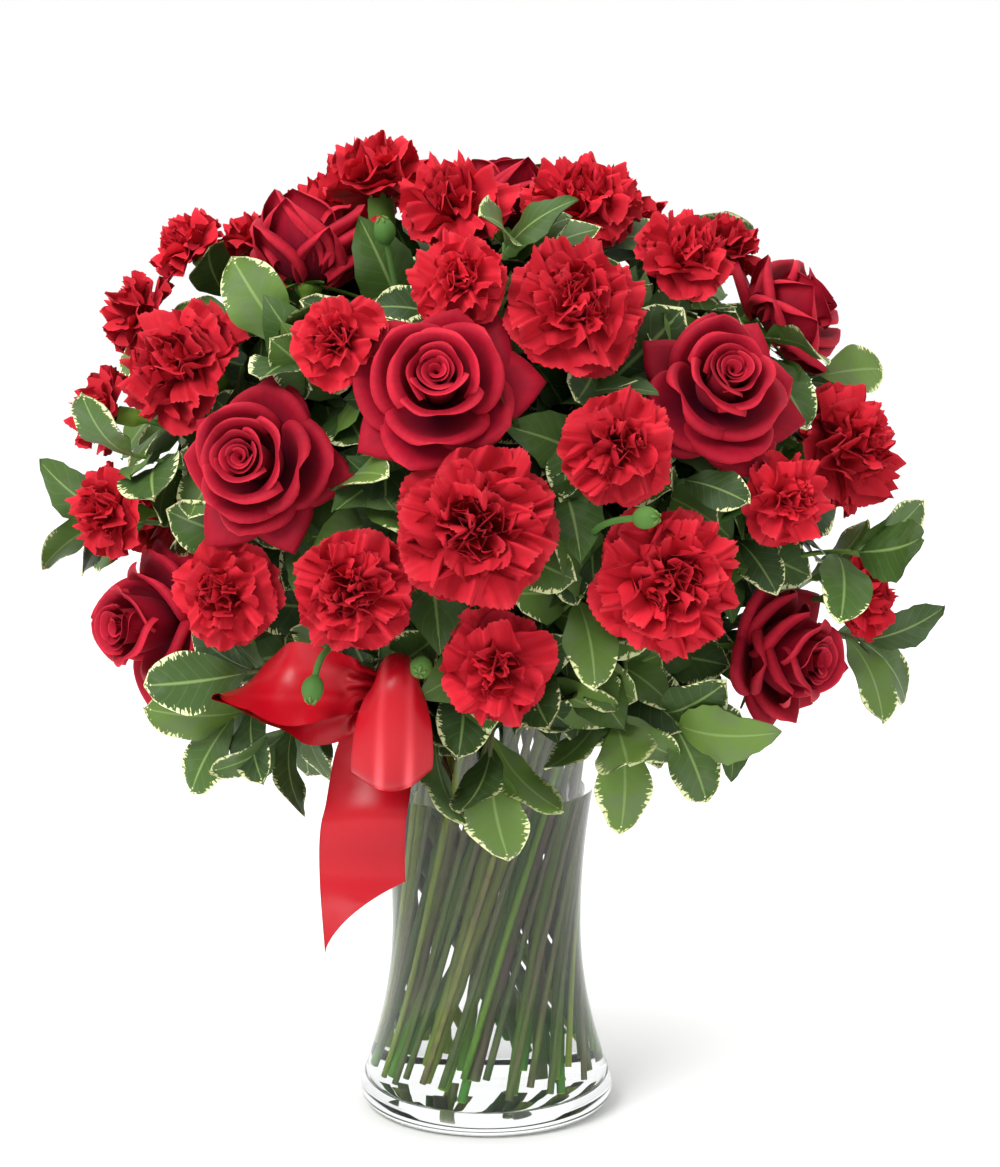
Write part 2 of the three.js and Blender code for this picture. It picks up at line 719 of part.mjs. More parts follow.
// Points spread over a leaf's blade, to try whether it is clear of everything
function leafSamples({ at }) {
  const across = (l) => (l > 0.9 ? [0] : [-0.4, 0, 0.4]);
  return [0.3, 0.55, 0.8, 1].flatMap((l) => across(l).map((w) => at(l, w, 0.03)));
}

// A leaf: a thin blade, arched along its rib, with a waved margin
function leaf({ up, at }) {
  const outline = [
    at(0, 0, 0),
    at(0.36, 0.5, 0.1),
    at(0.78, 0.4, 0),
    at(1, 0, -0.1),
    at(0.78, -0.4, 0.05),
    at(0.36, -0.5, 0.05),
  ];
  const n = outline.length;
  const face = [[0, 1, 5], [1, 2, 5], [2, 4, 5], [2, 3, 4]];
  const under = face.map(([a, b, c]) => [a + n, c + n, b + n]);
  const rim = outline.flatMap((_, k) => {
    const next = (k + 1) % n;
    return [[k, k + n, next + n], [k, next + n, next]];
  });
  const bottom = outline.map((p) => away(p, up, -LEAF_THICKNESS));
  return solidOf([...outline, ...bottom], [...face, ...under, ...rim]);
}

// Points along a way, at most a sample step apart
function alongWay(points) {
  return points.slice(1).flatMap((end, i) => {
    const start = points[i];
    const steps = Math.ceil(start.distanceTo(end) / SAMPLE_STEP);
    return Array.from({ length: steps }, (_, k) => start.clone().lerp(end, (k + 0.5) / steps));
  });
}

// Whether a point is among a bloom's petals or at its calyx
function inBloom(bloom, p) {
  const fromMouth = p.clone().sub(bloom.mouth);
  const ahead = fromMouth.dot(bloom.facing);
  const beside = Math.sqrt(Math.max(fromMouth.lengthSq() - ahead ** 2, 0));
  if (ahead > -LEAF_CLEARANCE / 2)
    return p.distanceTo(bloom.at) < BLOOM_CLEARANCE * bloom.span;
  const { calyx, calyxRadius } = KINDS[bloom.kind];
  return ahead > -calyx && beside < calyxRadius + CALYX_CLEARANCE;
}

// Whether a point is in the glass, in the vase or within reach of its wall
function inVase(p) {
  return p.z < VASE_HEIGHT + LEAF_CLEARANCE / 2 &&
    Math.hypot(p.x, p.y) < vaseRadius(Math.min(p.z, VASE_HEIGHT)) + LEAF_CLEARANCE / 2;
}

// Every leaf of every twig, in whorls round the twigs' tips. A leaf that has no room turns round its
// twig or grows shorter, and one that still has none is left out.
function grownLeaves(fixed, wood) {
  const random = seededRandom(5);
  const grown = [];
  const near = (list, p, reach) => list.some((q) => q.distanceTo(p) < reach);
  TWIGS.forEach((twig, i) => {
    const others = wood.filter((_, k) => k !== i).flat();
    const isClear = (frame) =>
      leafSamples(frame).every((p) =>
        !inVase(p) &&
        !BLOOMS.some((bloom) => inBloom(bloom, p)) &&
        !near(fixed, p, LEAF_CLEARANCE) &&
        !near(others, p, LEAF_CLEARANCE) &&
        !grown.some((g) => near(g.samples, p, g.twig === i ? OWN_CLEARANCE : LEAF_CLEARANCE)));
    twig.tips.forEach((tip, j) => {
      const { points } = twigWays(twig, i)[j];
      const [before, end] = points.slice(-2);
      const shoot = end.clone().sub(before).normalize();
      const start = 360 * random();
      for (let k = 0; k < tip.leaves; k++) {
        const spread = tip.spread * (0.5 + (0.5 * k) / (tip.leaves - 1));
        const length = LEAF_LENGTH * (0.85 + 0.3 * random());
        const root = away(end, shoot, -LEAF_STAGGER * k);
        for (const [turn, size] of LEAF_TRIES) {
          const round = start + GOLDEN_ANGLE * k + turn;
          const frame = turnedLeaf(root, tip.along, spread, round, length * size);
          if (!isClear(frame)) continue;
          grown.push({ twig: i, frame, samples: leafSamples(frame) });
          break;
        }
      }
    });
  });
  return grown;
}

// A leaf that leans off its shoot by a spread, at degrees round the shoot, upper side to the tip
function turnedLeaf(root, shoot, spread, round, length) {
  const side = shoot.clone().cross(new THREE.Vector3(0, 0, 1)).normalize();
  const up = side.clone().cross(shoot);
  const a = THREE.MathUtils.degToRad(round);
  const s = THREE.MathUtils.degToRad(spread);
  const off = side.multiplyScalar(Math.cos(a)).addScaledVector(up, Math.sin(a));
  const along = shoot.clone().multiplyScalar(Math.cos(s)).addScaledVector(off, Math.sin(s));
  const outward = shoot.clone().addScaledVector(off, -0.6);
  return leafFrame(root, along, outward, length);
}

// A run of ribbon: a thin strip through its rows, whose two faces are split into triangles alike
function ribbon(rows) {
  const middles = rows.map(([at]) => new THREE.Vector3(...at));
  const corners = rows.flatMap(([, width, wide], i) => {
    const before = middles[Math.max(i - 1, 0)];
    const after = middles[Math.min(i + 1, rows.length - 1)];
    const along = after.clone().sub(before).normalize();
    const across = new THREE.Vector3(...width);
    across.addScaledVector(along, -across.dot(along)).normalize();
    const out = along.clone().cross(across);
    const corner = (w, t) =>
      away(away(middles[i], across, (w * wide) / 2), out, (t * SATIN_THICKNESS) / 2);
    return [corner(1, 1), corner(-1, 1), corner(-1, -1), corner(1, -1)];
  });
  const triangles = [[0, 3, 2], [0, 2, 1]];
  for (let a = 0; a + 4 < corners.length; a += 4) {
    const [b, c, d] = [a + 1, a + 2, a + 3];
    const [nextA, nextB, nextC, nextD] = [a + 4, b + 4, c + 4, d + 4];
    triangles.push([a, b, nextB], [a, nextB, nextA], [c, d, nextC], [d, nextD, nextC]);
    triangles.push([b, c, nextC], [b, nextC, nextB], [d, a, nextA], [d, nextA, nextD]);
  }
  const last = corners.length - 4;
  triangles.push([last, last + 1, last + 2], [last, last + 2, last + 3]);
  return solidOf(corners, triangles);
}

// The bow's runs of ribbon, held together by the gathered ribbon at the knot
function bow() {
  const ends = [KNOT.back, KNOT.front].map((p) => new THREE.Vector3(...p));
  const knot = rod(ends, [KNOT.radius - 1, KNOT.radius], KNOT.sides);
  return joined([knot, ...RIBBON_RUNS.map(ribbon)]);
}

// The part of a stem or twig that stands in the water, larger all round by the gap
function hole({ points, radii, sides }) {
  const [foot, knee] = points;
  const start = away(foot, foot.clone().sub(knee).normalize(), GAP);
  const margin = GAP / Math.cos(Math.PI / sides);
  const grown = radii.slice(0, 3).map((r) => r + margin);
  return rod([start, ...points.slice(1, 3)], grown, sides);
}

const bouquet = new THREE.Group();

BLOOMS.forEach((bloom, i) => {
  const petals = bloom.kind === "rose" ? ROSE_RED : CARNATION_RED;
  const mesh = meshOf(bloom.name, head(bloom, 100 + i), petals);
  mesh.position.copy(bloom.mouth);
  mesh.quaternion.copy(bloom.turn);
  bouquet.add(mesh);
});

const stemWays = flowerStems();
const stems = joined(stemWays.map(rodOf));
bouquet.add(meshOf("flower_stems", stems, STEM_GREEN));
bouquet.add(meshOf("vase", vase(), CLEAR_GLASS));

const wire = PICK.map((p) => new THREE.Vector3(...p));
bouquet.add(meshOf("bow", bow(), SATIN_RED));
bouquet.add(meshOf("bow_pick", rod(wire, wire.map(() => WIRE_RADIUS), 4), WIRE_GREEN));

const ribbonPoints = RIBBON_RUNS.flatMap((rows) =>
  [-0.5, -0.25, 0, 0.25, 0.5].flatMap((w) =>
    alongWay(rows.map(([at, width, wide]) => {
      const across = new THREE.Vector3(...width).normalize();
      return away(new THREE.Vector3(...at), across, w * wide);
    }))),
);
const fixed = [
  ...stemWays.flatMap(({ points }) => alongWay(points)),
  ...alongWay(wire),
  ...ribbonPoints,
];
const twigRuns = TWIGS.map(twigWays);
const wood = twigRuns.map((runs) => runs.flatMap(({ points }) => alongWay(points)));
const leaves = grownLeaves(fixed, wood);
TWIGS.forEach(({ name }, i) => {
  const rods = twigRuns[i].map(rodOf);
  const blades = leaves.filter((l) => l.twig === i).map(({ frame }) => leaf(frame));
  bouquet.add(meshOf(name, joined([...rods, ...blades]), LEAF_GREEN));
});

const standing = [...stemWays, ...twigRuns.flat()];
const holes = standing.filter(({ points }) => points[0].z < WATER_LEVEL).map(hole);
bouquet.add(meshOf("water", water(holes), CLEAR_WATER));

export default bouquet;
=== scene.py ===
"""A round bouquet of red carnations, spray carnations and roses in a glass vase, dressed over its CAD frame.

Lengths here are millimetres in the CAD's own frame: +Z up, the front towards -Y, the origin at the middle
of the vase's foot. They become metres where a mesh is made.
"""

import math

import bpy
import numpy as np
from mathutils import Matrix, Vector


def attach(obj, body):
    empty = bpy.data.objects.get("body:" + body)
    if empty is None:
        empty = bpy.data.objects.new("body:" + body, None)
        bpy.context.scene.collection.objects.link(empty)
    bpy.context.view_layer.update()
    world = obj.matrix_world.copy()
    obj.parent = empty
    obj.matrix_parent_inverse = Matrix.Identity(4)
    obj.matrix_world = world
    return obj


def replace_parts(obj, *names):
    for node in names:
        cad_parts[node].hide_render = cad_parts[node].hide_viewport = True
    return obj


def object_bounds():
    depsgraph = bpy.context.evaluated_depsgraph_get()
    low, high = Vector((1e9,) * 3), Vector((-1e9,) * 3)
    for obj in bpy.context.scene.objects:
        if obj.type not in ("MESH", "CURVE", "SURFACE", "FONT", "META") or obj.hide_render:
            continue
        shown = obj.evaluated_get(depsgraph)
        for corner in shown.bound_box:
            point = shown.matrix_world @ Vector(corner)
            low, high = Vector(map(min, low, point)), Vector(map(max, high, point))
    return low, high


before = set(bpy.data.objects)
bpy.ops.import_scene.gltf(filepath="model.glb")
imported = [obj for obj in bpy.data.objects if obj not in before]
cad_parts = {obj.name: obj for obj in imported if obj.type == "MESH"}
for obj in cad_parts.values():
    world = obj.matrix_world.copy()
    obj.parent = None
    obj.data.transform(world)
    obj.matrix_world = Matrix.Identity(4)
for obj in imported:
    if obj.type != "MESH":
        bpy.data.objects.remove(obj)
CAD_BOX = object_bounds()

MM = 0.001
TAU = 2 * math.pi
GOLDEN_ANGLE = 137.5
TINY = 1e-6

# The vase and its water, as in the CAD
VASE_HEIGHT = 198
WAIST_HEIGHT = 84
WAIST_RADIUS = 42.4
LOWER_FLARE = 0.0027
UPPER_FLARE = 0.0014
FOOT_ROUND = 8
FOOT_HEIGHT = 11
SOLE = [(0, 1.4), (39, 1.2), (45, 0.5), (48, 0.0)]
WALL = 3.4
FLOOR = 9
FLOOR_ROUND = 7
WATER_LEVEL = 146
WATER_LAP = 0.15
LATHE_SIDES = 96
OUTER_RINGS = 36
INNER_RINGS = 30
GLASS_IOR, WATER_IOR = 1.39, 1.33
GLASS_TINT, WATER_TINT = (0.97, 0.985, 0.98), (0.985, 0.995, 0.99)

# Clearances and thicknesses, as in the CAD
GAP = 0.35
TWIG_RADIUS = 1.6
WIRE_RADIUS = 0.9

# Where the stems stand in the vase, as in the CAD
KNEE_HEIGHT = 188
LOW_HEIGHT = 32
OUTER_RING = {"low": 35.5, "knee": 36, "twist": 74}
INNER_RING = {"low": 21, "knee": 31.5, "twist": 140}
TWIG_RING = {"low": 41.7, "knee": 49.5, "twist": 70}
INNER_REACH = 92
LEAN = 2.6
CUT_HEIGHTS = [11, 21.5, 14.5, 25, 18]
KNEE_PULL = 0.4
END_PULL = 0.35
FORK_SHARE = 0.45
TWIG_KNEE_HEIGHT = VASE_HEIGHT + 6
TWIG_FEET = [13, 18, 23]
TWIG_KNEE_PULL = 0.25

# Kinds of flower: their name, stem and calyx, and how deep the petals sit behind the middle of the head
KINDS = {
    "rose": {"name": "rose", "stem": 2.7, "calyx": 7, "calyx_radius": 6, "depth": 0.3},
    "carnation": {"name": "carnation", "stem": 2.3, "calyx": 20, "calyx_radius": 6, "depth": 0.2},
    "spray": {"name": "spray_carnation", "stem": 1.4, "calyx": 13, "calyx_radius": 4.2, "depth": 0.2},
}

# Every bloom, as in the CAD: the middle of its head, the way it faces, its width across the petals
BLOOMS = {
    "rose": [
        ((-74, -22, 392), (165, 72), 66), ((-19, -124, 344), (-2, 24), 72),
        ((-96, -110, 309), (-18, 16), 68), ((99, -92, 340), (14, 30), 68), ((136, -6, 362), (92, 38), 62),
        ((-150, -46, 228), (-50, 2), 66), ((134, -50, 215), (50, 0), 66), ((6, 30, 408), (176, 62), 58),
        ((-28, 108, 370), (-168, 36), 68), ((84, 102, 332), (142, 24), 68),
        ((-112, 90, 318), (-130, 20), 68),
    ],
    "carnation": [
        ((-131, -52, 342), (-50, 28), 64), ((37, -98, 372), (10, 36), 66), ((-4, -142, 287), (4, 12), 74),
        ((75, -122, 260), (20, 4), 68), ((158, -24, 302), (64, 14), 62), ((-54, -131, 259), (-14, 6), 58),
        ((-46, 4, 418), (-170, 80), 58), ((42, -8, 408), (14, 58), 56), ((40, 130, 272), (163, 8), 64),
        ((-52, 128, 268), (-158, 6), 64), ((56, 66, 396), (140, 54), 62), ((-66, 60, 398), (-132, 54), 60),
    ],
    "spray": [
        ((-14, -32, 408), (-10, 54), 58), ((-11, -96, 382), (-12, 34), 46),
        ((-130, -6, 388), (-76, 44), 42), ((-152, -8, 360), (-84, 30), 44),
        ((-168, -12, 316), (-84, 12), 42), ((-164, -32, 275), (-62, 6), 48),
        ((-108, -98, 251), (-16, 0), 50), ((-60, -106, 358), (-10, 26), 46), ((85, -36, 388), (30, 46), 50),
        ((54, -130, 318), (10, 16), 52), ((126, -90, 290), (34, 14), 44), ((164, -36, 238), (62, 6), 44),
        ((5, -121, 224), (0, -6), 54), ((106, 18, 386), (110, 54), 42), ((-104, 22, 388), (-112, 56), 40),
        ((-150, 48, 262), (-108, 6), 50), ((146, 54, 280), (110, 8), 50), ((106, 92, 232), (132, -4), 50),
        ((-100, 100, 228), (-136, -4), 50),
    ],
}

# How blooms press on one another: the share of its room at which one starts to give, how near a neighbour
# presses, as a share of both radii, and by how much petals and a rose's guard petals may lap over, in mm
PRESSED_FROM = 0.78
PRESS_REACH = 1.5
PETAL_LAP = 3
GUARD_LAP = 18
BLOOM_SEED = 100

# Carnation heads: petals, how many of them lie outermost, and points along and across each
CARNATION_PETALS = {"carnation": (36, 8, 9, 33), "spray": (24, 7, 8, 27)}

# Rose heads, from the guard petals to the heart: petals, reach, rise, half the angle each petal spans, how
# far the fold falls from the tip to the sides, how broad the folded rim is, and the radius it rolls to
ROSE_WHORLS = [
    (5, 1.22, 0.1, 64, 0.58, 0.22, 0.065), (4, 0.96, 0.46, 74, 0.52, 0.2, 0.065),
    (3, 0.7, 0.78, 82, 0.42, 0.16, 0.06), (3, 0.42, 0.96, 84, 0.12, 0.06, 0.07),
    (3, 0.25, 1.0, 92, 0.03, 0.02, 0.1), (2, 0.16, 1.0, 115, 0.02, 0.0, 0.1),
    (2, 0.09, 0.98, 130, 0.02, 0.0, 0.1), (2, 0.035, 0.97, 150, 0.02, 0.0, 0.1),
]
ROSE_MESH = (16, 21)
FOLD_ROW = 0.5
MOST_BEND = 3.6
WHORL_TURN = 2.2

# Roses that are less open than the others, seen more from the side
HALF_OPEN = {"rose_01": 0.75, "rose_05": 0.35, "rose_07": 0.35, "rose_08": 0.5}

# Spray carnations, by number, that branch from one stem
SPRAY_STEMS = [(1, 2, 8), (3, 4, 15), (5, 6, 16), (7, 13), (9, 14), (10, 11), (12, 17), (18,), (19,)]

# Closed buds: the place of their stem in that list, their middle, the way they point
BUDS = [
    (3, (-70, -125, 217), (-14, -55)), (3, (-26, -124, 226), (-6, -10)),
    (5, (64, -150, 292), (52, 8)), (0, (-42, -60, 398), (-30, 70)),
]
BUD_LENGTH = 12
BUD_RADIUS = 4.6

# How stems are drawn: steps of a bend, distance of rings, sides, sides of a calyx
STEM_STEPS = 14
STEM_RING = 4.2
STEM_SIDES = 8
CALYX_SIDES = 20
STEM_SEED = 31
CUT_DEPTH = 0.25

# The five tips of a calyx, for a bloom of a certain width: length, width as a share of it, how far they lean
# out and rise, and how far their roots sit behind the petals. A rose's droop by a share in a range.
TIP_SPAN = 66
ROSE_TIP = {"length": 22, "width": 0.26, "lean": 0.9, "rise": 0.25, "drop": 2}
CARNATION_TIP = {"length": 5.5, "width": 0.6, "lean": 0.35, "rise": 0.9, "drop": 0}
DROOP = (0.2, 0.9)

# The nodes of a carnation's stem: ranges for the first and for the distance to the next, how far and over
# what length a node swells the stem, and the bracts on it: from what height, their lengths, their width
FIRST_NODE, NODE_STEP = (12, 34), (30, 44)
NODE_SWELL, NODE_REACH = 0.34, 2.2
BRACTS_FROM = 60
WET_BRACT, DRY_BRACT = (4, 9), (6, 13)
BRACT_WIDTH = 3.4

# Thorns along a rose's stem: the first, the distance to the next, how far out and up the middle and the tip
# of one lie, and its radii
THORNS_FROM = 130
THORN_STEP = 23
THORN = ((2, 0.4), (3.6, -0.8))
THORN_RADII = (1.3, 0.7, 0.1)

# Leafy twigs, as in the CAD: the way each leaves the vase, then its tips: place, way, spread, leaves
TWIGS = [
    (8, [((2, -80, 178), (0, -66), 34, 3), ((-24, -78, 184), (-20, -62), 24, 2),
         ((40, -104, 252), (24, 20), 66, 2)]),
    (44, [((56, -82, 192), (24, -46), 48, 4), ((82, -72, 190), (40, -30), 60, 4),
          ((106, -48, 192), (62, -24), 60, 3)]),
    (70, [((168, -8, 214), (80, -10), 60, 4), ((158, -58, 262), (60, 0), 60, 3)]),
    (109, [((150, 4, 332), (70, 20), 66, 3), ((118, -38, 350), (30, 30), 66, 3),
           ((150, 40, 232), (112, -10), 66, 3)]),
    (18, [((70, -44, 372), (20, 50), 62, 3), ((34, -104, 322), (10, 20), 66, 3),
          ((82, -92, 298), (30, 16), 66, 3)]),
    (154, [((70, 90, 196), (142, -30), 56, 4), ((20, 96, 214), (168, -20), 60, 3),
           ((88, 62, 376), (130, 50), 62, 3)]),
    (195, [((-30, 96, 204), (-164, -26), 60, 4), ((0, 118, 316), (178, 20), 66, 3),
           ((14, 88, 388), (172, 50), 62, 3)]),
    (225, [((-86, 74, 198), (-130, -24), 60, 3), ((-128, 20, 214), (-98, -20), 60, 3),
           ((-96, 100, 268), (-136, 6), 66, 3)]),
    (274, [((-140, 34, 326), (-104, 26), 66, 3), ((-112, -14, 366), (-60, 50), 56, 4)]),
    (298, [((-150, -48, 302), (-60, 10), 62, 5), ((-166, 10, 264), (-80, 0), 50, 4)]),
    (320, [((-108, -56, 190), (-58, -34), 56, 4), ((-82, -66, 188), (-38, -50), 44, 4),
           ((-100, -78, 214), (-50, -6), 66, 3)]),
    (343, [((-82, -58, 350), (-40, 40), 62, 3), ((-62, -92, 296), (-30, 16), 66, 3),
           ((8, -52, 392), (0, 56), 60, 4)]),
]

# Their leaves: size, distance along a shoot, the room that they keep to others, to leaves of their own twig,
# to calyxes and, as a share of its width, to a bloom's middle, and the turns and sizes that are tried
LEAF_LENGTH = 42
LEAF_WIDTH = 22
LEAF_THICKNESS = 0.35
LEAF_STAGGER = 5
LEAF_CLEARANCE = 6.5
OWN_CLEARANCE = 4
CALYX_CLEARANCE = 2
BLOOM_CLEARANCE = 0.56
SAMPLE_STEP = 5
SAMPLES_ALONG, SAMPLES_ACROSS, SAMPLE_LIFT = (0.3, 0.55, 0.8), (-0.4, 0, 0.4), 0.03
LEAF_TRIES = [
    (0, 1), (30, 1), (-30, 1), (60, 0.9), (-60, 0.9), (90, 0.8), (-90, 0.8), (140, 0.8), (0, 0.65),
]
LEAF_SEED = 5
TWIG_SEED = 41

# How twigs are drawn: steps of the main shoot, of a side shoot, points in the vase, the tip as a share of
# the foot, and the share of the leaves that have a cream margin
MAIN_STEPS, SIDE_STEPS, FOOT_POINTS = 18, 9, 12
TWIG_TIP_SHARE = 0.6
CREAM_SHARE = 0.8

# A leaf seen more edge on than this from the photograph's place is rolled about its rib by so much
EDGE_ON = 0.38
LEAF_ROLL = math.radians(52)

# Leaf meshes: points along and across, and whether there is a skin at the back
TWIG_MESH, COLLAR_MESH, FILLER_MESH = (15, 9, True), (10, 7, True), (10, 7, False)

# Kinds of filler shoot: how far their leaves lean off them, the share of the leaves that have a cream margin,
# how bright they are at most, lower for leaves deep in the bouquet as painted shade, and their mesh
SHOOTS = {
    "collar": ((5, 50), 0.85, 1.0, COLLAR_MESH),
    "neck": ((20, 70), 0.4, 0.4, FILLER_MESH),
    "inner": ((24, 66), 0.15, 0.45, FILLER_MESH),
    "outer": ((24, 66), 0.7, 0.9, FILLER_MESH),
}

# Where the shoots end: in three tiers round the rim, by radius, height and slope, over the rim by ranges of
# radius and height, and inside an egg shape by a range of depth
COLLAR_SHOOTS = 126
COLLAR_TIERS = ((66, 204, -55), (74, 210, -40), (82, 216, -25))
NECK_SHOOTS = 130
NECK_RADII, NECK_HEIGHTS = (26, 60), (207, 226)
FILLER_SHOOTS = 420
FILLER_MIDDLE = (0, 4, 288)
FILLER_REACH = (160, 136, 124)
FILLER_FALL = 1.74
FILLER_DEPTHS = (0.4, 0.84)
INNER_DEPTH = 0.66
BIG_LEAF = 58
SHOOT_LEAVES = 3
SHOOT_STAGGER = 6
SHOOT_FOOT_RADIUS = 1.1
SHOOT_RADIUS = 0.75
SHOOT_TRIES = (0, 40, -40, 80, -80, 130)

# The wood that shoots spring from: from what height on, above what height a shoot counts as a high one, and
# how far above the end of a high or a low shoot its wood may be
PARENTS_FROM = VASE_HEIGHT - 6
HIGH_SHOOT = 230
HIGH_PARENT, LOW_PARENT = -6, 4

# Room that filler leaves keep: to the ribbon, to other leaves, to the sides of the CAD's box, to the middles
# of blooms as a share of their width, for leaves and for the roots of shoots, and how far a leaf reaches
RIBBON_ROOM = 4
FILLER_ROOM = 2.6
BOX_ROOM = 3
BLOOM_ROOM = 0.48
ROOT_ROOM = 0.42
FAR_LEAF = 76

# Where more stalks of foliage stand between the twigs, in degrees round the rim
STALKS = (31, 57, 83, 96, 124, 139, 168, 182, 210, 241, 258, 286, 309, 331, 355)
STALK_TIP, STALK_SLOPE, STALK_STEPS = (58, 240), 60, 12
STALK_SEED = 51

# The satin ribbon: its width as cut, its knot, and the runs of the CAD's bow: middle, width way, width there
RIBBON_WIDTH = 37
KNOT_FRONT = (-40, -98, 208)
KNOT_BACK = (-40, -85, 208)
KNOT_RADIUS = 8
KNOT_RINGS, KNOT_SIDES = 15, 72
CAD_RUNS = [
    [((-42, -94, 210), (0, 0.2, 1), 10), ((-56, -105, 212), (0.1, 0.3, 1), 24),
     ((-78, -110, 210), (0.1, 0.3, 1), 37), ((-99, -107, 207), (0.25, 0, 1), 36),
     ((-108, -99, 204), (0.3, -0.3, 0.9), 32), ((-99, -92, 201), (0.2, 0.1, 1), 34),
     ((-78, -89, 200), (0.1, 0.2, 1), 34), ((-58, -89, 203), (0, 0.1, 1), 22),
     ((-43, -89, 206), (0, 0, 1), 10)],
    [((-37, -94, 212), (1, 0, 0), 9), ((-35, -104, 219), (1, 0, 0), 20), ((-36, -115, 213), (1, 0, 0), 27),
     ((-37, -121, 197), (1, 0, 0.05), 36), ((-38, -119, 181), (1, 0, 0.05), 37),
     ((-38, -109, 176), (1, 0, 0.05), 37), ((-37, -102, 190), (1, 0, 0), 28),
     ((-38, -95, 204), (1, 0, 0), 9)],
    [((-41, -89, 204), (1, 0, 0), 9), ((-43, -84, 190), (1, 0, 0), 26),
     ((-47, -81, 168), (1, -0.05, 0.1), 36), ((-52, -78, 142), (1, -0.1, 0.15), 37),
     ((-53, -82, 120), (1, -0.05, 0.25), 37), ((-51, -88, 101), (1, 0, 0.42), 35)],
]

# How the ribbon is draped, in finer steps than those runs: each sheet's seed, the width below which it is
# pleated, how strong the painted highlight along its ridges is, how much of its end is cut away aslant, and
# its run
DRAPES = {
    "bow_left_loop": {"seed": 21, "pleated_below": 26, "ridge_highlight": 0.1, "cut": 0, "rows": [
        ((-42, -94, 211), (0, 0.2, 1), 10), ((-57, -104, 214), (0.05, 0.3, 1), 23),
        ((-77, -107, 215), (0.1, 0.45, 1), 35.5), ((-94, -104, 213), (0.08, 1, 0.36), 36.8),
        ((-105, -101.5, 210.4), (0.02, 1, -0.12), 37), ((-110.5, -101.8, 208.9), (0, 1, -0.18), 37),
        ((-105, -102.1, 207.6), (0.02, 1, -0.14), 37), ((-94, -101, 207), (0.06, 1, 0.2), 36.8),
        ((-78, -97, 205.5), (0.05, 0.8, 0.6), 36), ((-62, -93, 202.5), (0, 0.5, 0.85), 26),
        ((-44, -90, 205), (0, 0.1, 1), 10),
    ]},
    "bow_front_loop": {"seed": 22, "pleated_below": 0, "ridge_highlight": 1, "cut": 0, "rows": [
        ((-38, -94, 210), (1, 0, 0), 15), ((-36.5, -101, 219), (1, 0, 0), 15),
        ((-36, -109, 223), (1, 0, 0), 16.5), ((-36.5, -116.5, 217), (1, 0, 0.02), 22),
        ((-37.5, -120.5, 203), (1, 0, 0.04), 30.5), ((-38, -121, 188), (1, 0, 0.04), 33.5),
        ((-38.5, -117.5, 178), (1, 0, 0.05), 33), ((-38.5, -110, 174.5), (1, 0, 0.05), 31),
        ((-38.5, -102, 182), (1, 0, 0), 27), ((-38, -95, 204), (1, 0, 0), 16),
    ]},
    "bow_tail": {"seed": 23, "pleated_below": 26, "ridge_highlight": 0, "cut": 0.17, "rows": [
        ((-41, -89, 204), (1, 0, 0), 10), ((-44, -84, 191), (1, 0, 0), 24),
        ((-48, -79.5, 173), (1, -0.05, 0.06), 34), ((-51.5, -87, 152), (1, -0.2, 0.1), 36),
        ((-52.5, -79, 127), (1, -0.04, 0.06), 36.6), ((-50, -89, 96), (1, 0.05, 0.02), 36),
    ]},
}
PLEATS = 3
PLEAT_FADE = 10
RIBBON_COLS = 49
RIBBON_STEPS = 12
HALVINGS = 24

# Where across the ribbon its soft folds lie, and how far each reaches. Painted highlights run along the
# folds.
RIDGES = (-0.14, 0.2)
RIDGE_REACH = 0.26

# The wire that holds the bow
WIRE_STEPS, WIRE_SIDES, WIRE_SHARE = 16, 10, 0.8
PICK = [
    (-40, -84.6, 208), (-33, -70, 203), (-26.7, -52.5, 199.3),
    (-23, -43, 194), (-26, -38, 176), (-30, -32, 152),
]

# The photograph's camera, and the studio's lights: name, place, size, power
CAMERA_PLACE = (6.1, -1500, 516.5)
CAMERA_PITCH = -10.53
CAMERA_LENS = 106.7
CAMERA_REACH = 200
SENSOR = 36
LIGHTS = (("key", (-900, -1300, 1500), 0.9, 34), ("top", (0, 200, 1900), 1.6, 16))
LIGHT_AIM = (0, 0, 280)
SKY = 1.05
FLOOR_SIZE = 80

# A texture place and tones for skins that need none of their own
NO_PLACE = (0.5, 0.5)
NO_TONE = (0, 0, 0, 0)


def vec(*p):
    return np.array(p, dtype=float)


def unit(v):
    return v / np.linalg.norm(v, axis=-1, keepdims=True)


def direction(around_z, above):
    """A unit vector from degrees round from the front and degrees above level."""
    a, e = math.radians(around_z), math.radians(above)
    return vec(math.sin(a) * math.cos(e), -math.cos(a) * math.cos(e), math.sin(e))


def around(radius, degrees, height):
    p = direction(degrees, 0) * radius
    p[2] = height
    return p


def round_of(p):
    return math.degrees(math.atan2(p[0], -p[1]))


def turn_from_up(way):
    """The rotation matrix that takes +Z to a way by the shortest arc."""
    x, y, c = -way[1], way[0], way[2]
    cross = np.array([[0, 0, y], [0, 0, -x], [-y, x, 0]])
    return np.eye(3) + cross + cross @ cross / (1 + c)


def seeded_random(seed):
    """The same run of numbers between 0 and 1 for the same seed, as in the CAD."""
    mask = 0xFFFFFFFF
    state = seed & mask

    def draw():
        nonlocal state
        state = (state + 0x6D2B79F5) & mask
        t = ((state ^ (state >> 15)) * (state | 1)) & mask
        t ^= (t + (t ^ (t >> 7)) * (t | 61)) & mask
        return (t ^ (t >> 14)) / 4294967296

    return draw


def shares(steps):
    return np.arange(steps + 1) / steps


def bezier(points, t):
    """Points of a quadratic or cubic curve at the shares t."""
    level = [np.asarray(p, dtype=float)[None, :] for p in points]
    t = np.asarray(t, dtype=float)[:, None]
    while len(level) > 1:
        level = [a * (1 - t) + b * t for a, b in zip(level, level[1:])]
    return level[0]


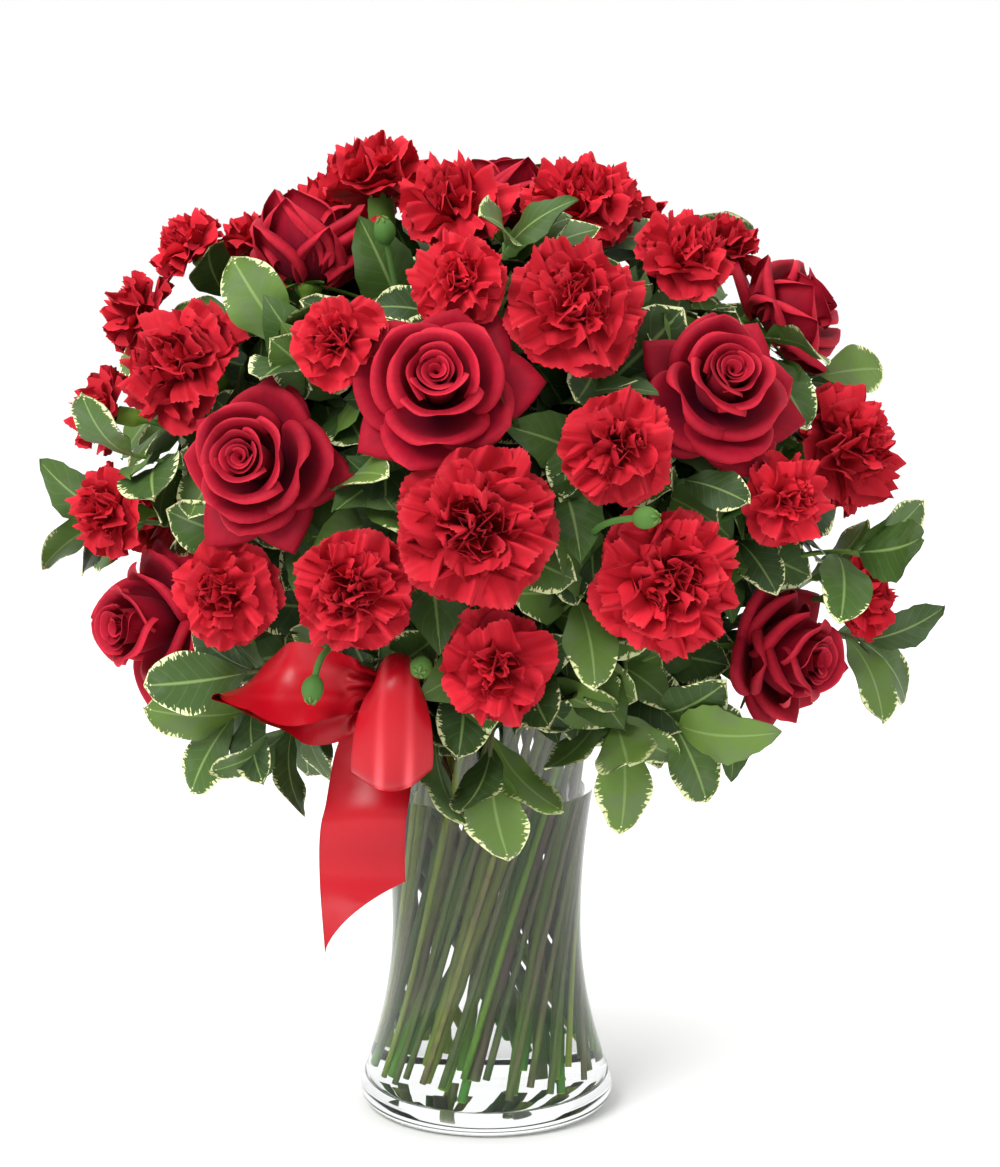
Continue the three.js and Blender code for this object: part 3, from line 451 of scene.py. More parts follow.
def cubic(a, b, c, d, t):
    return a * (1 - t) ** 3 + 3 * b * t * (1 - t) ** 2 + 3 * c * t**2 * (1 - t) + d * t**3


def spline(values, per_step):
    """A smooth run through rows of numbers, with so many steps from one row to the next."""
    rows = np.asarray(values, dtype=float)
    padded = np.vstack([2 * rows[0] - rows[1], rows, 2 * rows[-1] - rows[-2]])
    t = np.arange(per_step)[:, None] / per_step
    out = []
    for a, b, c, d in zip(padded, padded[1:], padded[2:], padded[3:]):
        bends = (2 * a - 5 * b + 4 * c - d) * t**2 + (3 * b - a - 3 * c + d) * t**3
        out.append(0.5 * (2 * b + (c - a) * t + bends))
    return np.vstack(out + [rows[-1:]])


def smooth_step(x, low, high):
    t = np.clip((x - low) / (high - low), 0, 1)
    return t * t * (3 - 2 * t)


def run_along(points):
    """How far along the way through them each point lies."""
    return np.concatenate([[0], np.cumsum(np.linalg.norm(np.diff(points, axis=0), axis=1))])


def along_way(points):
    """Points along a way, at most a sample step apart."""
    out = []
    for a, b in zip(points, points[1:]):
        steps = max(1, math.ceil(np.linalg.norm(b - a) / SAMPLE_STEP))
        out.append(a + (b - a) * ((np.arange(steps) + 0.5) / steps)[:, None])
    return np.vstack(out)


def stacked(*parts):
    """Numbers or arrays that fit one another, joined as the numbers of each point."""
    return np.stack(np.broadcast_arrays(*parts), axis=-1)


def turned(radius, angle, height):
    """Points at a radius and an angle round the Z axis."""
    return stacked(radius * np.cos(angle), radius * np.sin(angle), height)


def lattice(rows, cols):
    """A column of shares from 0 to 1 along a skin, and a row from -1 to 1 across it."""
    return np.linspace(0, 1, rows)[:, None], np.linspace(-1, 1, cols)[None, :]


def round_angles(sides):
    return TAU * np.arange(sides) / sides


class Piece:
    """Points in millimetres, faces, texture places and tones, gathered for one mesh object."""

    def __init__(self, name):
        self.name = name
        self.points, self.faces, self.slots, self.uvs, self.tones = [], [], [], [], []
        self.count = 0

    def add(self, points, faces, uv, tone, slot=0):
        """Faces are rows of point numbers. uv and tone are one row a point, or one for all."""
        points = np.asarray(points, dtype=float).reshape(-1, 3)
        self.points.append(points)
        self.faces.append(np.asarray(faces, dtype=np.int64) + self.count)
        self.slots.append(np.full(len(faces), slot))
        self.uvs.append(np.broadcast_to(np.asarray(uv, dtype=float), (len(points), 2)))
        self.tones.append(np.broadcast_to(np.asarray(tone, dtype=float), (len(points), 4)))
        self.count += len(points)

    def grid(self, points, uv, tone, slot=0, closed=False):
        """A skin over rows of points. A closed grid joins each row's end to its start."""
        rows, cols = points.shape[:2]
        k = np.arange(cols if closed else cols - 1)
        after = (k + 1) % cols
        base = np.arange(rows - 1)[:, None] * cols
        quads = np.stack([base + k, base + after, base + cols + after, base + cols + k], axis=-1)
        uv = np.broadcast_to(uv, (rows, cols, 2)).reshape(-1, 2)
        tone = np.broadcast_to(tone, (rows, cols, 4)).reshape(-1, 4)
        self.add(points, quads.reshape(-1, 4), uv, tone, slot)

    def tube(self, points, radii, sides, tone, slot=0, ends=True):
        """A round rod through points, with a radius at each, and its length along it as a texture place."""
        points = np.asarray(points, dtype=float)
        radii = np.broadcast_to(np.asarray(radii, dtype=float), (len(points),))
        before, after = np.vstack([points[:1], points[:-1]]), np.vstack([points[1:], points[-1:]])
        along = unit(after - before)
        side = vec(0, 1, 0) if abs(along[0][0]) > 0.9 else vec(1, 0, 0)
        loops = []
        angles = round_angles(sides)
        for p, way, r in zip(points, along, radii):
            side = unit(side - way * side.dot(way))
            up = np.cross(way, side)
            loops.append(p + r * (np.outer(np.cos(angles), side) + np.outer(np.sin(angles), up)))
        uv = stacked(angles / TAU, run_along(points)[:, None])
        if ends:
            loops = [np.repeat(points[:1], sides, axis=0)] + loops + [np.repeat(points[-1:], sides, axis=0)]
            uv = np.concatenate([uv[:1], uv, uv[-1:]])
        self.grid(np.array(loops), uv, tone, slot, closed=True)

    def make(self, materials):
        """The mesh object, in metres and kept inside the CAD's box."""
        points = np.clip(np.concatenate(self.points) * MM, *CAD_BOX)
        corners = np.concatenate([f.ravel() for f in self.faces])
        sizes = np.concatenate([np.full(len(f), f.shape[1]) for f in self.faces])
        mesh = bpy.data.meshes.new(self.name)
        mesh.vertices.add(len(points))
        mesh.vertices.foreach_set("co", points.ravel())
        mesh.loops.add(len(corners))
        mesh.loops.foreach_set("vertex_index", corners.astype(np.int32))
        mesh.polygons.add(len(sizes))
        mesh.polygons.foreach_set("loop_start", (np.cumsum(sizes) - sizes).astype(np.int32))
        mesh.polygons.foreach_set("material_index", np.concatenate(self.slots).astype(np.int32))
        mesh.polygons.foreach_set("use_smooth", np.full(len(sizes), True))
        layer = mesh.uv_layers.new(name="UVMap")
        layer.data.foreach_set("uv", np.concatenate(self.uvs)[corners].ravel())
        tones = mesh.color_attributes.new("tone", "FLOAT_COLOR", "POINT")
        tones.data.foreach_set("color", np.concatenate(self.tones).ravel())
        mesh.update(calc_edges=True)
        mesh.validate()
        for material in materials:
            mesh.materials.append(material)
        piece = bpy.data.objects.new(self.name, mesh)
        bpy.context.collection.objects.link(piece)
        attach(piece, "root")
        return piece


class Shader:
    """A material's nodes, with short calls for the kinds used here."""

    def __init__(self, name, **sockets):
        self.material = bpy.data.materials.new(name)
        self.material.use_nodes = True
        self.tree = self.material.node_tree
        self.surface = self.tree.nodes["Principled BSDF"]
        for socket, value in sockets.items():
            self.surface.inputs[socket.replace("_", " ")].default_value = value

    def node(self, kind, inputs=(), **settings):
        """A node whose inputs are linked, or set to a value, where a colour may leave out its alpha."""
        made = self.tree.nodes.new(kind)
        for name, value in settings.items():
            setattr(made, name, value)
        for key, value in dict(inputs).items():
            if isinstance(value, bpy.types.NodeSocket):
                self.tree.links.new(value, made.inputs[key])
            else:
                made.inputs[key].default_value = (*value, 1) if made.inputs[key].type == "RGBA" else value
        return made

    def tone(self):
        """The tones of a point. What each of the four says differs from one material to another."""
        read = self.node("ShaderNodeAttribute", attribute_name="tone")
        split = self.node("ShaderNodeSeparateColor", {"Color": read.outputs["Color"]})
        return *split.outputs, read.outputs["Alpha"]

    def place(self, scale=(1, 1, 1), uv=False):
        place = self.node("ShaderNodeTexCoord").outputs["UV" if uv else "Object"]
        return self.node("ShaderNodeMapping", {"Vector": place, "Scale": scale}).outputs["Vector"]

    def apart(self, place):
        return self.node("ShaderNodeSeparateXYZ", {"Vector": place}).outputs

    def noise(self, place, scale, detail=3.0, roughness=0.55):
        inputs = {"Vector": place, "Scale": scale, "Detail": detail, "Roughness": roughness}
        return self.node("ShaderNodeTexNoise", inputs).outputs["Fac"]

    def ramp(self, share, *stops):
        made = self.node("ShaderNodeValToRGB", {"Fac": share})
        elements = made.color_ramp.elements
        for place, _ in stops[2:]:
            elements.new(place)
        for element, (place, colour) in zip(elements, stops):
            element.position = place
            element.color = (*colour, 1)
        return made.outputs["Color"]

    def grey(self, share, low, start, high, end):
        """A ramp of greys, from a start at the low share to an end at the high one."""
        return self.ramp(share, (low, (start,) * 3), (high, (end,) * 3))

    def mixed(self, share, a, b, blend="MIX"):
        inputs = {0: share, 6: a, 7: b}
        return self.node("ShaderNodeMix", inputs, data_type="RGBA", blend_type=blend).outputs[2]

    def maths(self, operation, *values, clamp=False):
        inputs = dict(enumerate(values))
        return self.node("ShaderNodeMath", inputs, operation=operation, use_clamp=clamp).outputs[0]

    def times(self, a, b):
        return self.maths("MULTIPLY", a, b)

    def colour(self, socket):
        self.tree.links.new(socket, self.surface.inputs["Base Color"])

    def roughness(self, share, low, high):
        span = self.node("ShaderNodeMapRange", {"Value": share, "To Min": low, "To Max": high})
        self.tree.links.new(span.outputs["Result"], self.surface.inputs["Roughness"])

    def bump(self, height, strength, distance):
        made = self.node("ShaderNodeBump", {"Height": height, "Strength": strength, "Distance": distance})
        self.tree.links.new(made.outputs["Normal"], self.surface.inputs["Normal"])


def petal_material(name, base, limb, rim, shade_highlight_stops, roughness, veins):
    """Petals: painted shade at the base, a painted highlight to the rim, fine veins, each petal a little
    different.
    """
    shader = Shader(name, Roughness=roughness, Sheen_Weight=0.1, Sheen_Roughness=0.5,
                    Sheen_Tint=(1, 0.12, 0.16, 1), Specular_IOR_Level=0.12, Subsurface_Weight=0.1,
                    Subsurface_Scale=0.002, Subsurface_Radius=(1, 0.12, 0.1))
    own, out, head, _ = shader.tone()
    # Painted shade: the base colour darkens the petal deep in the head. Painted highlight: the rim colour
    # lightens its edge.
    painted_shade_and_highlight = shader.ramp(out, *zip(shade_highlight_stops, (base, limb, limb, rim)))
    streaks = shader.noise(shader.place((veins, 1.6, 1), uv=True), 1.0, 4.0, 0.7)
    streaked = shader.mixed(shader.grey(streaks, 0.4, 0, 0.75, 0.3), painted_shade_and_highlight, base)
    patches = shader.noise(shader.place(), 70.0, 2.0)
    shade = shader.maths("MULTIPLY_ADD", own, 0.2, 0.86)
    shade = shader.times(shade, shader.grey(patches, 0.3, 0.9, 0.7, 1.06))
    shade = shader.times(shade, shader.grey(head, 0.0, 0.9, 1.0, 1.05))
    shader.colour(shader.mixed(1.0, streaked, shade, "MULTIPLY"))
    shader.bump(streaks, 0.12, 0.0005)
    return shader.material


def leaf_material():
    """Leaves with a thin ragged cream margin on the ones that have it, a pale rib and side veins."""
    shader = Shader("leaves", Roughness=0.45, Specular_IOR_Level=0.18, Subsurface_Weight=0.04,
                    Subsurface_Scale=0.001)
    own, edge, kind, rib = shader.tone()
    length = shader.apart(shader.place(uv=True))["Y"]
    combed = shader.noise(shader.place((5, 34, 1), uv=True), 1.0, 3.0, 0.6)
    patchy = shader.noise(shader.place(), 70.0, 2.0)
    green = shader.ramp(own, (0.0, (0.022, 0.045, 0.012)), (0.55, (0.052, 0.104, 0.019)),
                        (1.0, (0.118, 0.2, 0.038)))
    grey = shader.mixed(own, (0.042, 0.075, 0.032), (0.115, 0.165, 0.07))
    centre = shader.mixed(shader.grey(patchy, 0.48, 0, 0.62, 0.6), green, grey)
    run = shader.maths("SUBTRACT", shader.times(length, 8.0), shader.times(rib, 1.7))
    side_vein = shader.maths("ABSOLUTE", shader.maths("SUBTRACT", shader.maths("FRACT", run), 0.5))
    veined = shader.mixed(shader.grey(side_vein, 0.0, 0.3, 0.07, 0), centre, (0.11, 0.19, 0.06))
    veined = shader.mixed(shader.grey(rib, 0.02, 0.7, 0.07, 0), veined, (0.22, 0.32, 0.1))
    ragged = shader.times(shader.maths("SUBTRACT", combed, 0.5), 1.05)
    margin = shader.grey(shader.maths("ADD", edge, ragged), 0.86, 0, 0.91, 1)
    cream = shader.mixed(patchy, (0.6, 0.66, 0.28), (0.84, 0.84, 0.5))
    shader.colour(shader.mixed(shader.times(margin, kind), veined, cream))
    shader.roughness(patchy, 0.4, 0.56)
    shader.bump(shader.maths("ADD", side_vein, combed), 0.2, 0.0005)
    return shader.material


def stem_material():
    """Stems from green to woody brown, streaked along them, brighter at the foot, with pale cut ends."""
    shader = Shader("stems", Roughness=0.55, Specular_IOR_Level=0.1)
    own, wood, cut, _ = shader.tone()
    streaks = shader.noise(shader.place((10, 0.05, 1), uv=True), 1.0, 4.0, 0.65)
    blotches = shader.noise(shader.place(), 45.0, 3.0)
    green = shader.ramp(own, (0.0, (0.04, 0.12, 0.03)), (0.5, (0.15, 0.27, 0.035)),
                        (1.0, (0.36, 0.48, 0.06)))
    brown = shader.mixed(blotches, (0.1, 0.06, 0.06), (0.21, 0.14, 0.11))
    skin = shader.mixed(shader.times(wood, shader.grey(blotches, 0.35, 0.4, 0.65, 1)), green, brown)
    skin = shader.mixed(shader.grey(streaks, 0.45, 0, 0.75, 0.45), skin, (0.03, 0.055, 0.018))
    height = shader.apart(shader.place())["Z"]
    young = shader.maths("SUBTRACT", 1.1, wood, clamp=True)
    # Brighter green low down on each stem, towards the vase's floor
    brighter_foot = shader.times(shader.grey(height, 0.022, 0.9, 0.06, 0), young)
    bright = shader.ramp(own, (0.0, (0.05, 0.24, 0.03)), (0.5, (0.11, 0.3, 0.03)),
                         (1.0, (0.36, 0.48, 0.02)))
    shader.colour(shader.mixed(cut, shader.mixed(brighter_foot, skin, bright), (0.5, 0.58, 0.14)))
    shader.roughness(streaks, 0.45, 0.65)
    shader.bump(streaks, 0.25, 0.0005)
    return shader.material


def satin_material():
    """Woven satin: anisotropic specular along it, painted highlights on its ridges, a fine weave and a close
    selvedge.
    """
    shader = Shader("satin", Roughness=0.3, Specular_IOR_Level=0.26, Anisotropic=0.6)
    ridge, edge, _, _ = shader.tone()
    weave = shader.node("ShaderNodeTexWave", {
        "Vector": shader.place(uv=True), "Scale": 300.0, "Distortion": 0.4}, bands_direction="X")
    slubs = shader.noise(shader.place((6, 90, 1), uv=True), 2.0, 3.0)
    red = shader.mixed(slubs, (0.36, 0.002, 0.008), (0.42, 0.004, 0.013))
    # Painted highlight: the ridge tone lightens the red towards pale pink along the ribbon's folds
    red = shader.mixed(shader.times(ridge, 0.75), red, (0.95, 0.12, 0.14))
    shader.colour(shader.mixed(shader.grey(edge, 0.94, 0, 0.97, 0.5), red, (0.3, 0.002, 0.008)))
    shader.roughness(slubs, 0.26, 0.36)
    shader.bump(shader.maths("ADD", weave.outputs["Fac"], slubs), 0.05, 0.0001)
    return shader.material


def wire_material():
    """Green lacquer on wire, a little worn."""
    shader = Shader("wire", Roughness=0.4, Specular_IOR_Level=0.5, Coat_Weight=0.3, Coat_Roughness=0.3)
    wear = shader.noise(shader.place(), 300.0)
    shader.colour(shader.mixed(wear, (0.03, 0.09, 0.03), (0.07, 0.15, 0.06)))
    shader.roughness(wear, 0.3, 0.5)
    return shader.material


def clear_material(name, tint, ior):
    """A clear surface, with the faintest smears and ripples on it."""
    shader = Shader(name, Roughness=0.0, Transmission_Weight=1.0, IOR=ior, Specular_IOR_Level=0.5)
    smears = shader.noise(shader.place(), 20.0, 2.0)
    shader.colour(shader.mixed(smears, tint, tuple(min(1.0, c + 0.015) for c in tint)))
    shader.bump(smears, 0.05, 0.0004)
    return shader.material


class Bloom:
    """A flower head, which keeps to its own side of the plane where a neighbour presses against it."""

    def __init__(self, name, kind, at, way, span):
        self.name, self.kind, self.span = name, kind, span
        self.at = vec(*at)
        self.facing = direction(*way)
        self.turn = turn_from_up(self.facing)
        self.radius = span / 2
        self.mouth = self.at - KINDS[kind]["depth"] * span * self.facing

    def find_walls(self, blooms):
        towards, far = [], []
        for other in blooms:
            between = other.at - self.at
            apart = np.linalg.norm(between)
            if other is self or apart > PRESS_REACH * (self.radius + other.radius):
                continue
            towards.append(between / apart)
            far.append((apart**2 + self.radius**2 - other.radius**2) / (2 * apart) - GAP)
        self.towards, self.far = np.array(towards), np.array(far)

    def placed(self, local, lap):
        """Points in shares of the radius, in the bloom's own frame, put in place and pressed in.

        A petal may lap over the plane between two blooms by so many millimetres.
        """
        ray = (local * self.radius) @ self.turn.T + self.mouth - self.at
        length = np.maximum(np.linalg.norm(ray, axis=-1, keepdims=True), TINY)
        ray = ray / length
        slant = ray @ self.towards.T
        walls = np.where(slant > TINY, self.far / np.maximum(slant, TINY), 1 / TINY)
        limit = walls.min(axis=-1, keepdims=True) + lap
        free = PRESSED_FROM * limit
        give = limit - free
        pressed = free + give * (1 - np.exp(-(length - free) / give))
        return self.at + ray * np.where(length <= free, length, pressed)


blooms = [Bloom(f"{KINDS[kind]['name']}_{i:02}", kind, *row)
          for kind, rows in BLOOMS.items() for i, row in enumerate(rows, 1)]
for each in blooms:
    each.find_walls(blooms)


def add_petal(piece, bloom, rng, local, out, u, v, head_tone, lap=PETAL_LAP):
    """One petal as a skin. Its tones: its own number, how far out each point is, and its head's number."""
    tone = stacked(rng.random(), np.clip(out, 0, 1), head_tone, 0)
    piece.grid(bloom.placed(local, lap), stacked(0.5 + 0.5 * u, v) + rng.random(2), tone)


def carnation(bloom, seed):
    """Petals like fans: broad open ones round the rim, then ever more crumpled ones to the middle."""
    count, outermost, rows, cols = CARNATION_PETALS[bloom.kind]
    rng = np.random.default_rng(seed)
    piece = Piece(bloom.name + "_petals")
    head_tone = rng.random()
    v = np.concatenate([[0, 0.2], np.linspace(0.36, 1, rows - 2)])[:, None]
    u = np.linspace(-1, 1, cols)[None, :]
    lopside = rng.uniform(0, TAU)
    for i in range(count):
        inward = max(0.0, (i - outermost) / (count - 1 - outermost))
        if i < outermost:
            angle = TAU * i / outermost + rng.normal(0, 0.16)
            lean = math.radians(rng.uniform(84, 106))
            reach = rng.uniform(0.84, 1.0) * (1 + 0.05 * math.cos(angle - lopside))
            half_width = rng.uniform(0.44, 0.56)
            waves, depth = rng.uniform(0.5, 0.85), rng.uniform(0.06, 0.1)
            shoulder = 0.24
        else:
            angle = math.radians(GOLDEN_ANGLE) * i + rng.normal(0, 0.25)
            lean = math.radians(80 - 92 * inward**1.15 + rng.normal(0, 7))
            reach = rng.uniform(0.86, 1.02)
            half_width = rng.uniform(0.4, 0.5) * (1 - 0.3 * inward)
            waves, depth = rng.uniform(0.65, 1.0), rng.uniform(0.11, 0.17) * (1 + 0.25 * inward)
            shoulder = 0.3
        tip_r = min(0.97, 0.99 * reach * math.sin(lean))
        tip_z = 0.19 + 0.7 * reach * math.cos(lean)
        teeth = np.where(np.arange(cols) % 2, 1, -1) * rng.uniform(0.2, 1.3, cols)
        outline = 1 - 0.1 * u**2 - 0.2 * np.abs(u) ** 5
        notch = 0.022 * np.sin(u * rng.uniform(3, 6) + rng.uniform(0, TAU)) + 0.011 * teeth[None, :]
        t = v * (outline + notch * smooth_step(v, 0.7, 1))
        bends = ((0.05, 0.08, 0.45 * tip_r, tip_r), (-0.04, shoulder, shoulder + 0.7 * (tip_z - 0.2), tip_z))
        (radial, height), (back_r, back_z) = ([cubic(*bend, at) for bend in bends] for at in (t, t - 0.02))
        step_r, step_z = radial - back_r, height - back_z
        widen = half_width * (0.13 + 0.87 * smooth_step(v, 0.08, 0.8))
        loose = smooth_step(v, 0.3, 1) ** 1.2
        phase, second = rng.uniform(0, TAU, 2)
        swing = TAU * waves * u
        ruffle = np.sin(swing + phase + 0.9 * v) + 0.42 * np.sin(2.3 * swing + second + 1.4 * v)
        ruffle = ruffle + 0.16 * np.sin(4.7 * swing + phase) * v**4
        lift = (depth * ruffle * loose - 0.05 * u**2 * (1 - loose)) / np.hypot(step_r, step_z)
        across = (u + 0.1 * np.cos(swing + phase) * loose) * widen
        radial = radial - step_z * lift
        local = stacked(radial * math.cos(angle) - across * math.sin(angle),
                        radial * math.sin(angle) + across * math.cos(angle), height + step_r * lift)
        add_petal(piece, bloom, rng, local, t, u, v, head_tone)
    return piece


def rose(bloom, seed):
    """Cupped petals that lap one another in a spiral. The outer ones fold back beside a pointed tip."""
    rng = np.random.default_rng(seed)
    piece = Piece(bloom.name + "_petals")
    head_tone = rng.random()
    v, u = lattice(*ROSE_MESH)
    off = np.abs(u)
    below, past = np.clip(v / FOLD_ROW, 0, 1), np.clip((v - FOLD_ROW) / (1 - FOLD_ROW), 0, 1)
    start = rng.uniform(0, TAU)
    closed = HALF_OPEN.get(bloom.name, 0)
    for whorl, (petals, reach, rise, spread, fall, rim, roll) in enumerate(ROSE_WHORLS):
        free = 1 - whorl / (len(ROSE_WHORLS) - 1)
        flat = max(0.0, (free - 0.7) / 0.3)
        shut = closed * smooth_step(free, 0.3, 1)
        for i in range(petals):
            r_tip = reach * (1 + 0.06 * free * rng.normal()) * (1 - 0.3 * shut)
            z_tip = rise * (1 + 0.03 * rng.normal()) - 0.08 * free * rng.random() + 0.8 * shut
            angle = start + WHORL_TURN * whorl + TAU * i / petals + rng.normal(0, 0.04 + 0.1 * free)
            falls, rims = (np.where(u < 0, *rng.uniform(*span, 2)) for span in ((0.8, 1.2), (0.6, 1.2)))
            fold = 1 - fall * falls * off**0.78 - 0.14 * off**6
            strip = 0.015 + rim * rims * smooth_step(off, 0, 0.4)
            t = fold * below + strip * past
            cup = (0.05, 0.05 + (0.7 - 0.3 * flat) * r_tip, r_tip * (1 - 0.12 * free - 0.18 * flat), r_tip)
            bends = (cup, (0.0, 0.0, 0.62 * z_tip + 0.1 * free, z_tip))
            paths = [cubic(*bend, t) for bend in bends]
            step_r, step_z = (np.diff(path, axis=0, prepend=path[:1]) for path in paths)
            over = np.cumsum(np.hypot(step_r, step_z) * (past > 0), axis=0)
            bend = np.minimum(over / roll, MOST_BEND)
            radial = 0.05 + np.cumsum(step_r * np.cos(bend) + step_z * np.sin(bend), axis=0)
            height = np.cumsum(step_z * np.cos(bend) - step_r * np.sin(bend), axis=0)
            wave = 0.014 * np.sin(2.3 * math.pi * u + rng.uniform(0, TAU)) * (0.3 + free) * v**2
            radial = np.maximum(radial + 0.035 * u * v + wave, 0.01)
            turn = angle + math.radians(spread) * u * (0.55 + 0.45 * np.sqrt(np.minimum(t, 1)))
            turn = turn - math.radians(14) * u * past * free
            local = turned(radial, turn, height + 0.5 * wave)
            # How far out, which the petal material paints from shade at the base to a highlight on the folded
            # rim
            out = 0.8 * below + 0.2 * past
            add_petal(piece, bloom, rng, local, out, u, v, head_tone, GUARD_LAP if whorl < 2 else PETAL_LAP)
    return piece


def rising(foot, knee, end, way, pull):
    """The four points of a curve that goes on from a run, foot to knee, and ends along a way."""
    reach = np.linalg.norm(end - knee)
    return [knee, knee + unit(knee - foot) * pull * reach, end - way * END_PULL * reach, end]


def branching(fork, end, way, steps):
    """A run that bends from a fork to an end, where it points along a way."""
    return bezier([fork, end - way * KNEE_PULL * np.linalg.norm(end - fork), end], shares(steps))


def standings(ring, count, first_round):
    """Where the stems of a ring stand. Each leans on one neighbour at its knee and on the other low down."""
    def nudged(place, degrees, height, lean):
        apart = (TAU * ring[place] / count - LEAN) / 2
        return around(ring[place], degrees, height) + direction(degrees + 90, 0) * apart * lean

    places = []
    for i in range(count):
        lean = 1 if i % 2 == 0 else -1
        at = first_round + 360 * i / count
        cut = CUT_HEIGHTS[i % len(CUT_HEIGHTS)]
        knee = nudged("knee", at, KNEE_HEIGHT, lean)
        low = nudged("low", at - ring["twist"], LOW_HEIGHT, -lean)
        places.append((knee, knee + (low - knee) * (KNEE_HEIGHT - cut) / (KNEE_HEIGHT - LOW_HEIGHT)))
    return places


class Stem:
    """What a flower stem carries, and the ways of its main run and its branches."""

    def __init__(self, at, heads, buds):
        self.at, self.heads, self.buds = at, heads, buds
        self.kind = heads[0].kind
        self.place = None

    def ends(self):
        """Where the stem or its branches end, the way each points, and the rest of each run beyond that."""
        calyx = KINDS[self.kind]["calyx"]
        out = []
        for b in self.heads:
            first, *rest = (b.mouth - b.facing * far for far in (calyx, calyx / 2, GAP))
            out.append((first, b.facing, rest))
        for _, middle, way in self.buds:
            facing = direction(*way)
            first, *rest = (vec(*middle) + facing * BUD_LENGTH * share for share in (-0.5, -0.2, 0.2, 0.5))
            out.append((first, facing, rest))
        return out

    def ways(self, steps):
        """The main run, straight from foot to knee and bent from there, then each branch of a spray."""
        knee, foot = self.place
        end, facing, _ = self.ends()[0]
        branches = []
        if self.kind == "spray":
            end, facing = knee + (self.at - knee) * FORK_SHARE, unit(self.at - knee)
            branches = [branching(end, tip, way, steps) for tip, way, _ in self.ends()]
        bent = bezier(rising(foot, knee, end, facing, KNEE_PULL), shares(steps))
        return [np.vstack([foot[None, :], bent])] + branches

    def coarse_points(self):
        """Points along the stem as the CAD has it, which leaves keep clear of."""
        ways = self.ways(2 if self.kind == "spray" else 3)
        whole, ended = (ways[:1], ways[1:]) if self.kind == "spray" else ([], ways)
        runs = whole + [np.vstack([way] + beyond) for way, (_, _, beyond) in zip(ended, self.ends())]
        return np.vstack([along_way(run) for run in runs])


def flower_stems():
    wanted = [Stem(b.mouth, [b], []) for b in blooms if b.kind != "spray"]
    sprays = [b for b in blooms if b.kind == "spray"]
    for i, numbers in enumerate(SPRAY_STEMS):
        heads = [sprays[n - 1] for n in numbers]
        middle = sum(b.mouth for b in heads) / len(heads)
        wanted.append(Stem(middle, heads, [bud for bud in BUDS if bud[0] == i]))
    inner = [s for s in wanted if math.hypot(s.at[0], s.at[1]) < INNER_REACH]
    outer = [s for s in wanted if s not in inner]
    for ring, stems in ((INNER_RING, inner), (OUTER_RING, outer)):
        stems.sort(key=lambda s: round_of(s.at))
        for stem, place in zip(stems, standings(ring, len(stems), round_of(stems[0].at))):
            stem.place = place
    return inner + outer


def twig_ways(degrees, tips, index, main_steps=3, side_steps=2):
    """A twig's main shoot from its foot in the vase to its first tip, and side shoots to the others."""
    foot = around(TWIG_RING["low"], degrees - TWIG_RING["twist"], TWIG_FEET[index % len(TWIG_FEET)])
    knee = around(TWIG_RING["knee"], degrees, TWIG_KNEE_HEIGHT)
    (first, first_way), *others = [(vec(*tip[0]), direction(*tip[1])) for tip in tips]
    main = rising(foot, knee, first, first_way, TWIG_KNEE_PULL)
    fork = bezier(main, [1 / 3])[0]
    sides = [branching(fork, at, way, side_steps) for at, way in others]
    return [np.vstack([foot[None, :], bezier(main, shares(main_steps))])] + sides


def with_fine_foot(way):
    """A twig's main run with more points on its straight part in the vase."""
    return np.vstack([bezier(way[:2], np.linspace(0, 1, FOOT_POINTS)), way[2:]])


class Leaf:
    """A blade's own frame: shares of its length along the rib, of its width across, and out of its face."""

    def __init__(self, root, along, outward, length, width=None):
        self.root, self.along, self.length = root, along, length
        self.side = unit(np.cross(along, outward))
        self.up = np.cross(self.side, along)
        self.width = width or LEAF_WIDTH * length / LEAF_LENGTH

    def turned_to(self, eye):
        """The same leaf, rolled about its rib where it would be seen edge on."""
        sight = unit(eye - self.root)
        seen = self.up.dot(sight)
        if abs(seen) < EDGE_ON:
            roll = math.copysign(LEAF_ROLL, seen * self.side.dot(sight))
            sine, cosine = math.sin(roll), math.cos(roll)
            self.side, self.up = self.side * cosine + self.up * sine, self.up * cosine - self.side * sine
        return self

    def at(self, l, w, h):
        l, w, h = (np.asarray(x, dtype=float)[..., None] for x in (l, w, h))
        return (self.root + self.along * l * self.length + self.side * w * self.width
                + self.up * h * self.length)

    def samples(self):
        places = [(l, w) for l in SAMPLES_ALONG for w in SAMPLES_ACROSS] + [(1, 0)]
        return self.at(*np.array(places).T, SAMPLE_LIFT)


def turned_leaf(root, shoot, spread, degrees, length):
    """A leaf that leans off its shoot by a spread, at degrees round the shoot, upper side to the tip."""
    side = unit(np.cross(shoot, vec(0, 0, 1)))
    a, s = math.radians(degrees), math.radians(spread)
    off = side * math.cos(a) + np.cross(side, shoot) * math.sin(a)
    return Leaf(root, shoot * math.cos(s) + off * math.sin(s), shoot - off * 0.6, length)


def vase_radius(z):
    z = np.asarray(z, dtype=float)
    return WAIST_RADIUS + np.where(z < WAIST_HEIGHT, LOWER_FLARE, UPPER_FLARE) * (z - WAIST_HEIGHT) ** 2


def near(points, others, reach):
    gap = points[:, None, :] - others[None, :, :]
    return (np.einsum("ijk,ijk->ij", gap, gap) < reach**2).any()


def in_vase(points):
    low = points[:, 2] < VASE_HEIGHT + LEAF_CLEARANCE / 2
    reach = vase_radius(np.minimum(points[:, 2], VASE_HEIGHT)) + LEAF_CLEARANCE / 2
    return (low & (np.hypot(points[:, 0], points[:, 1]) < reach)).any()


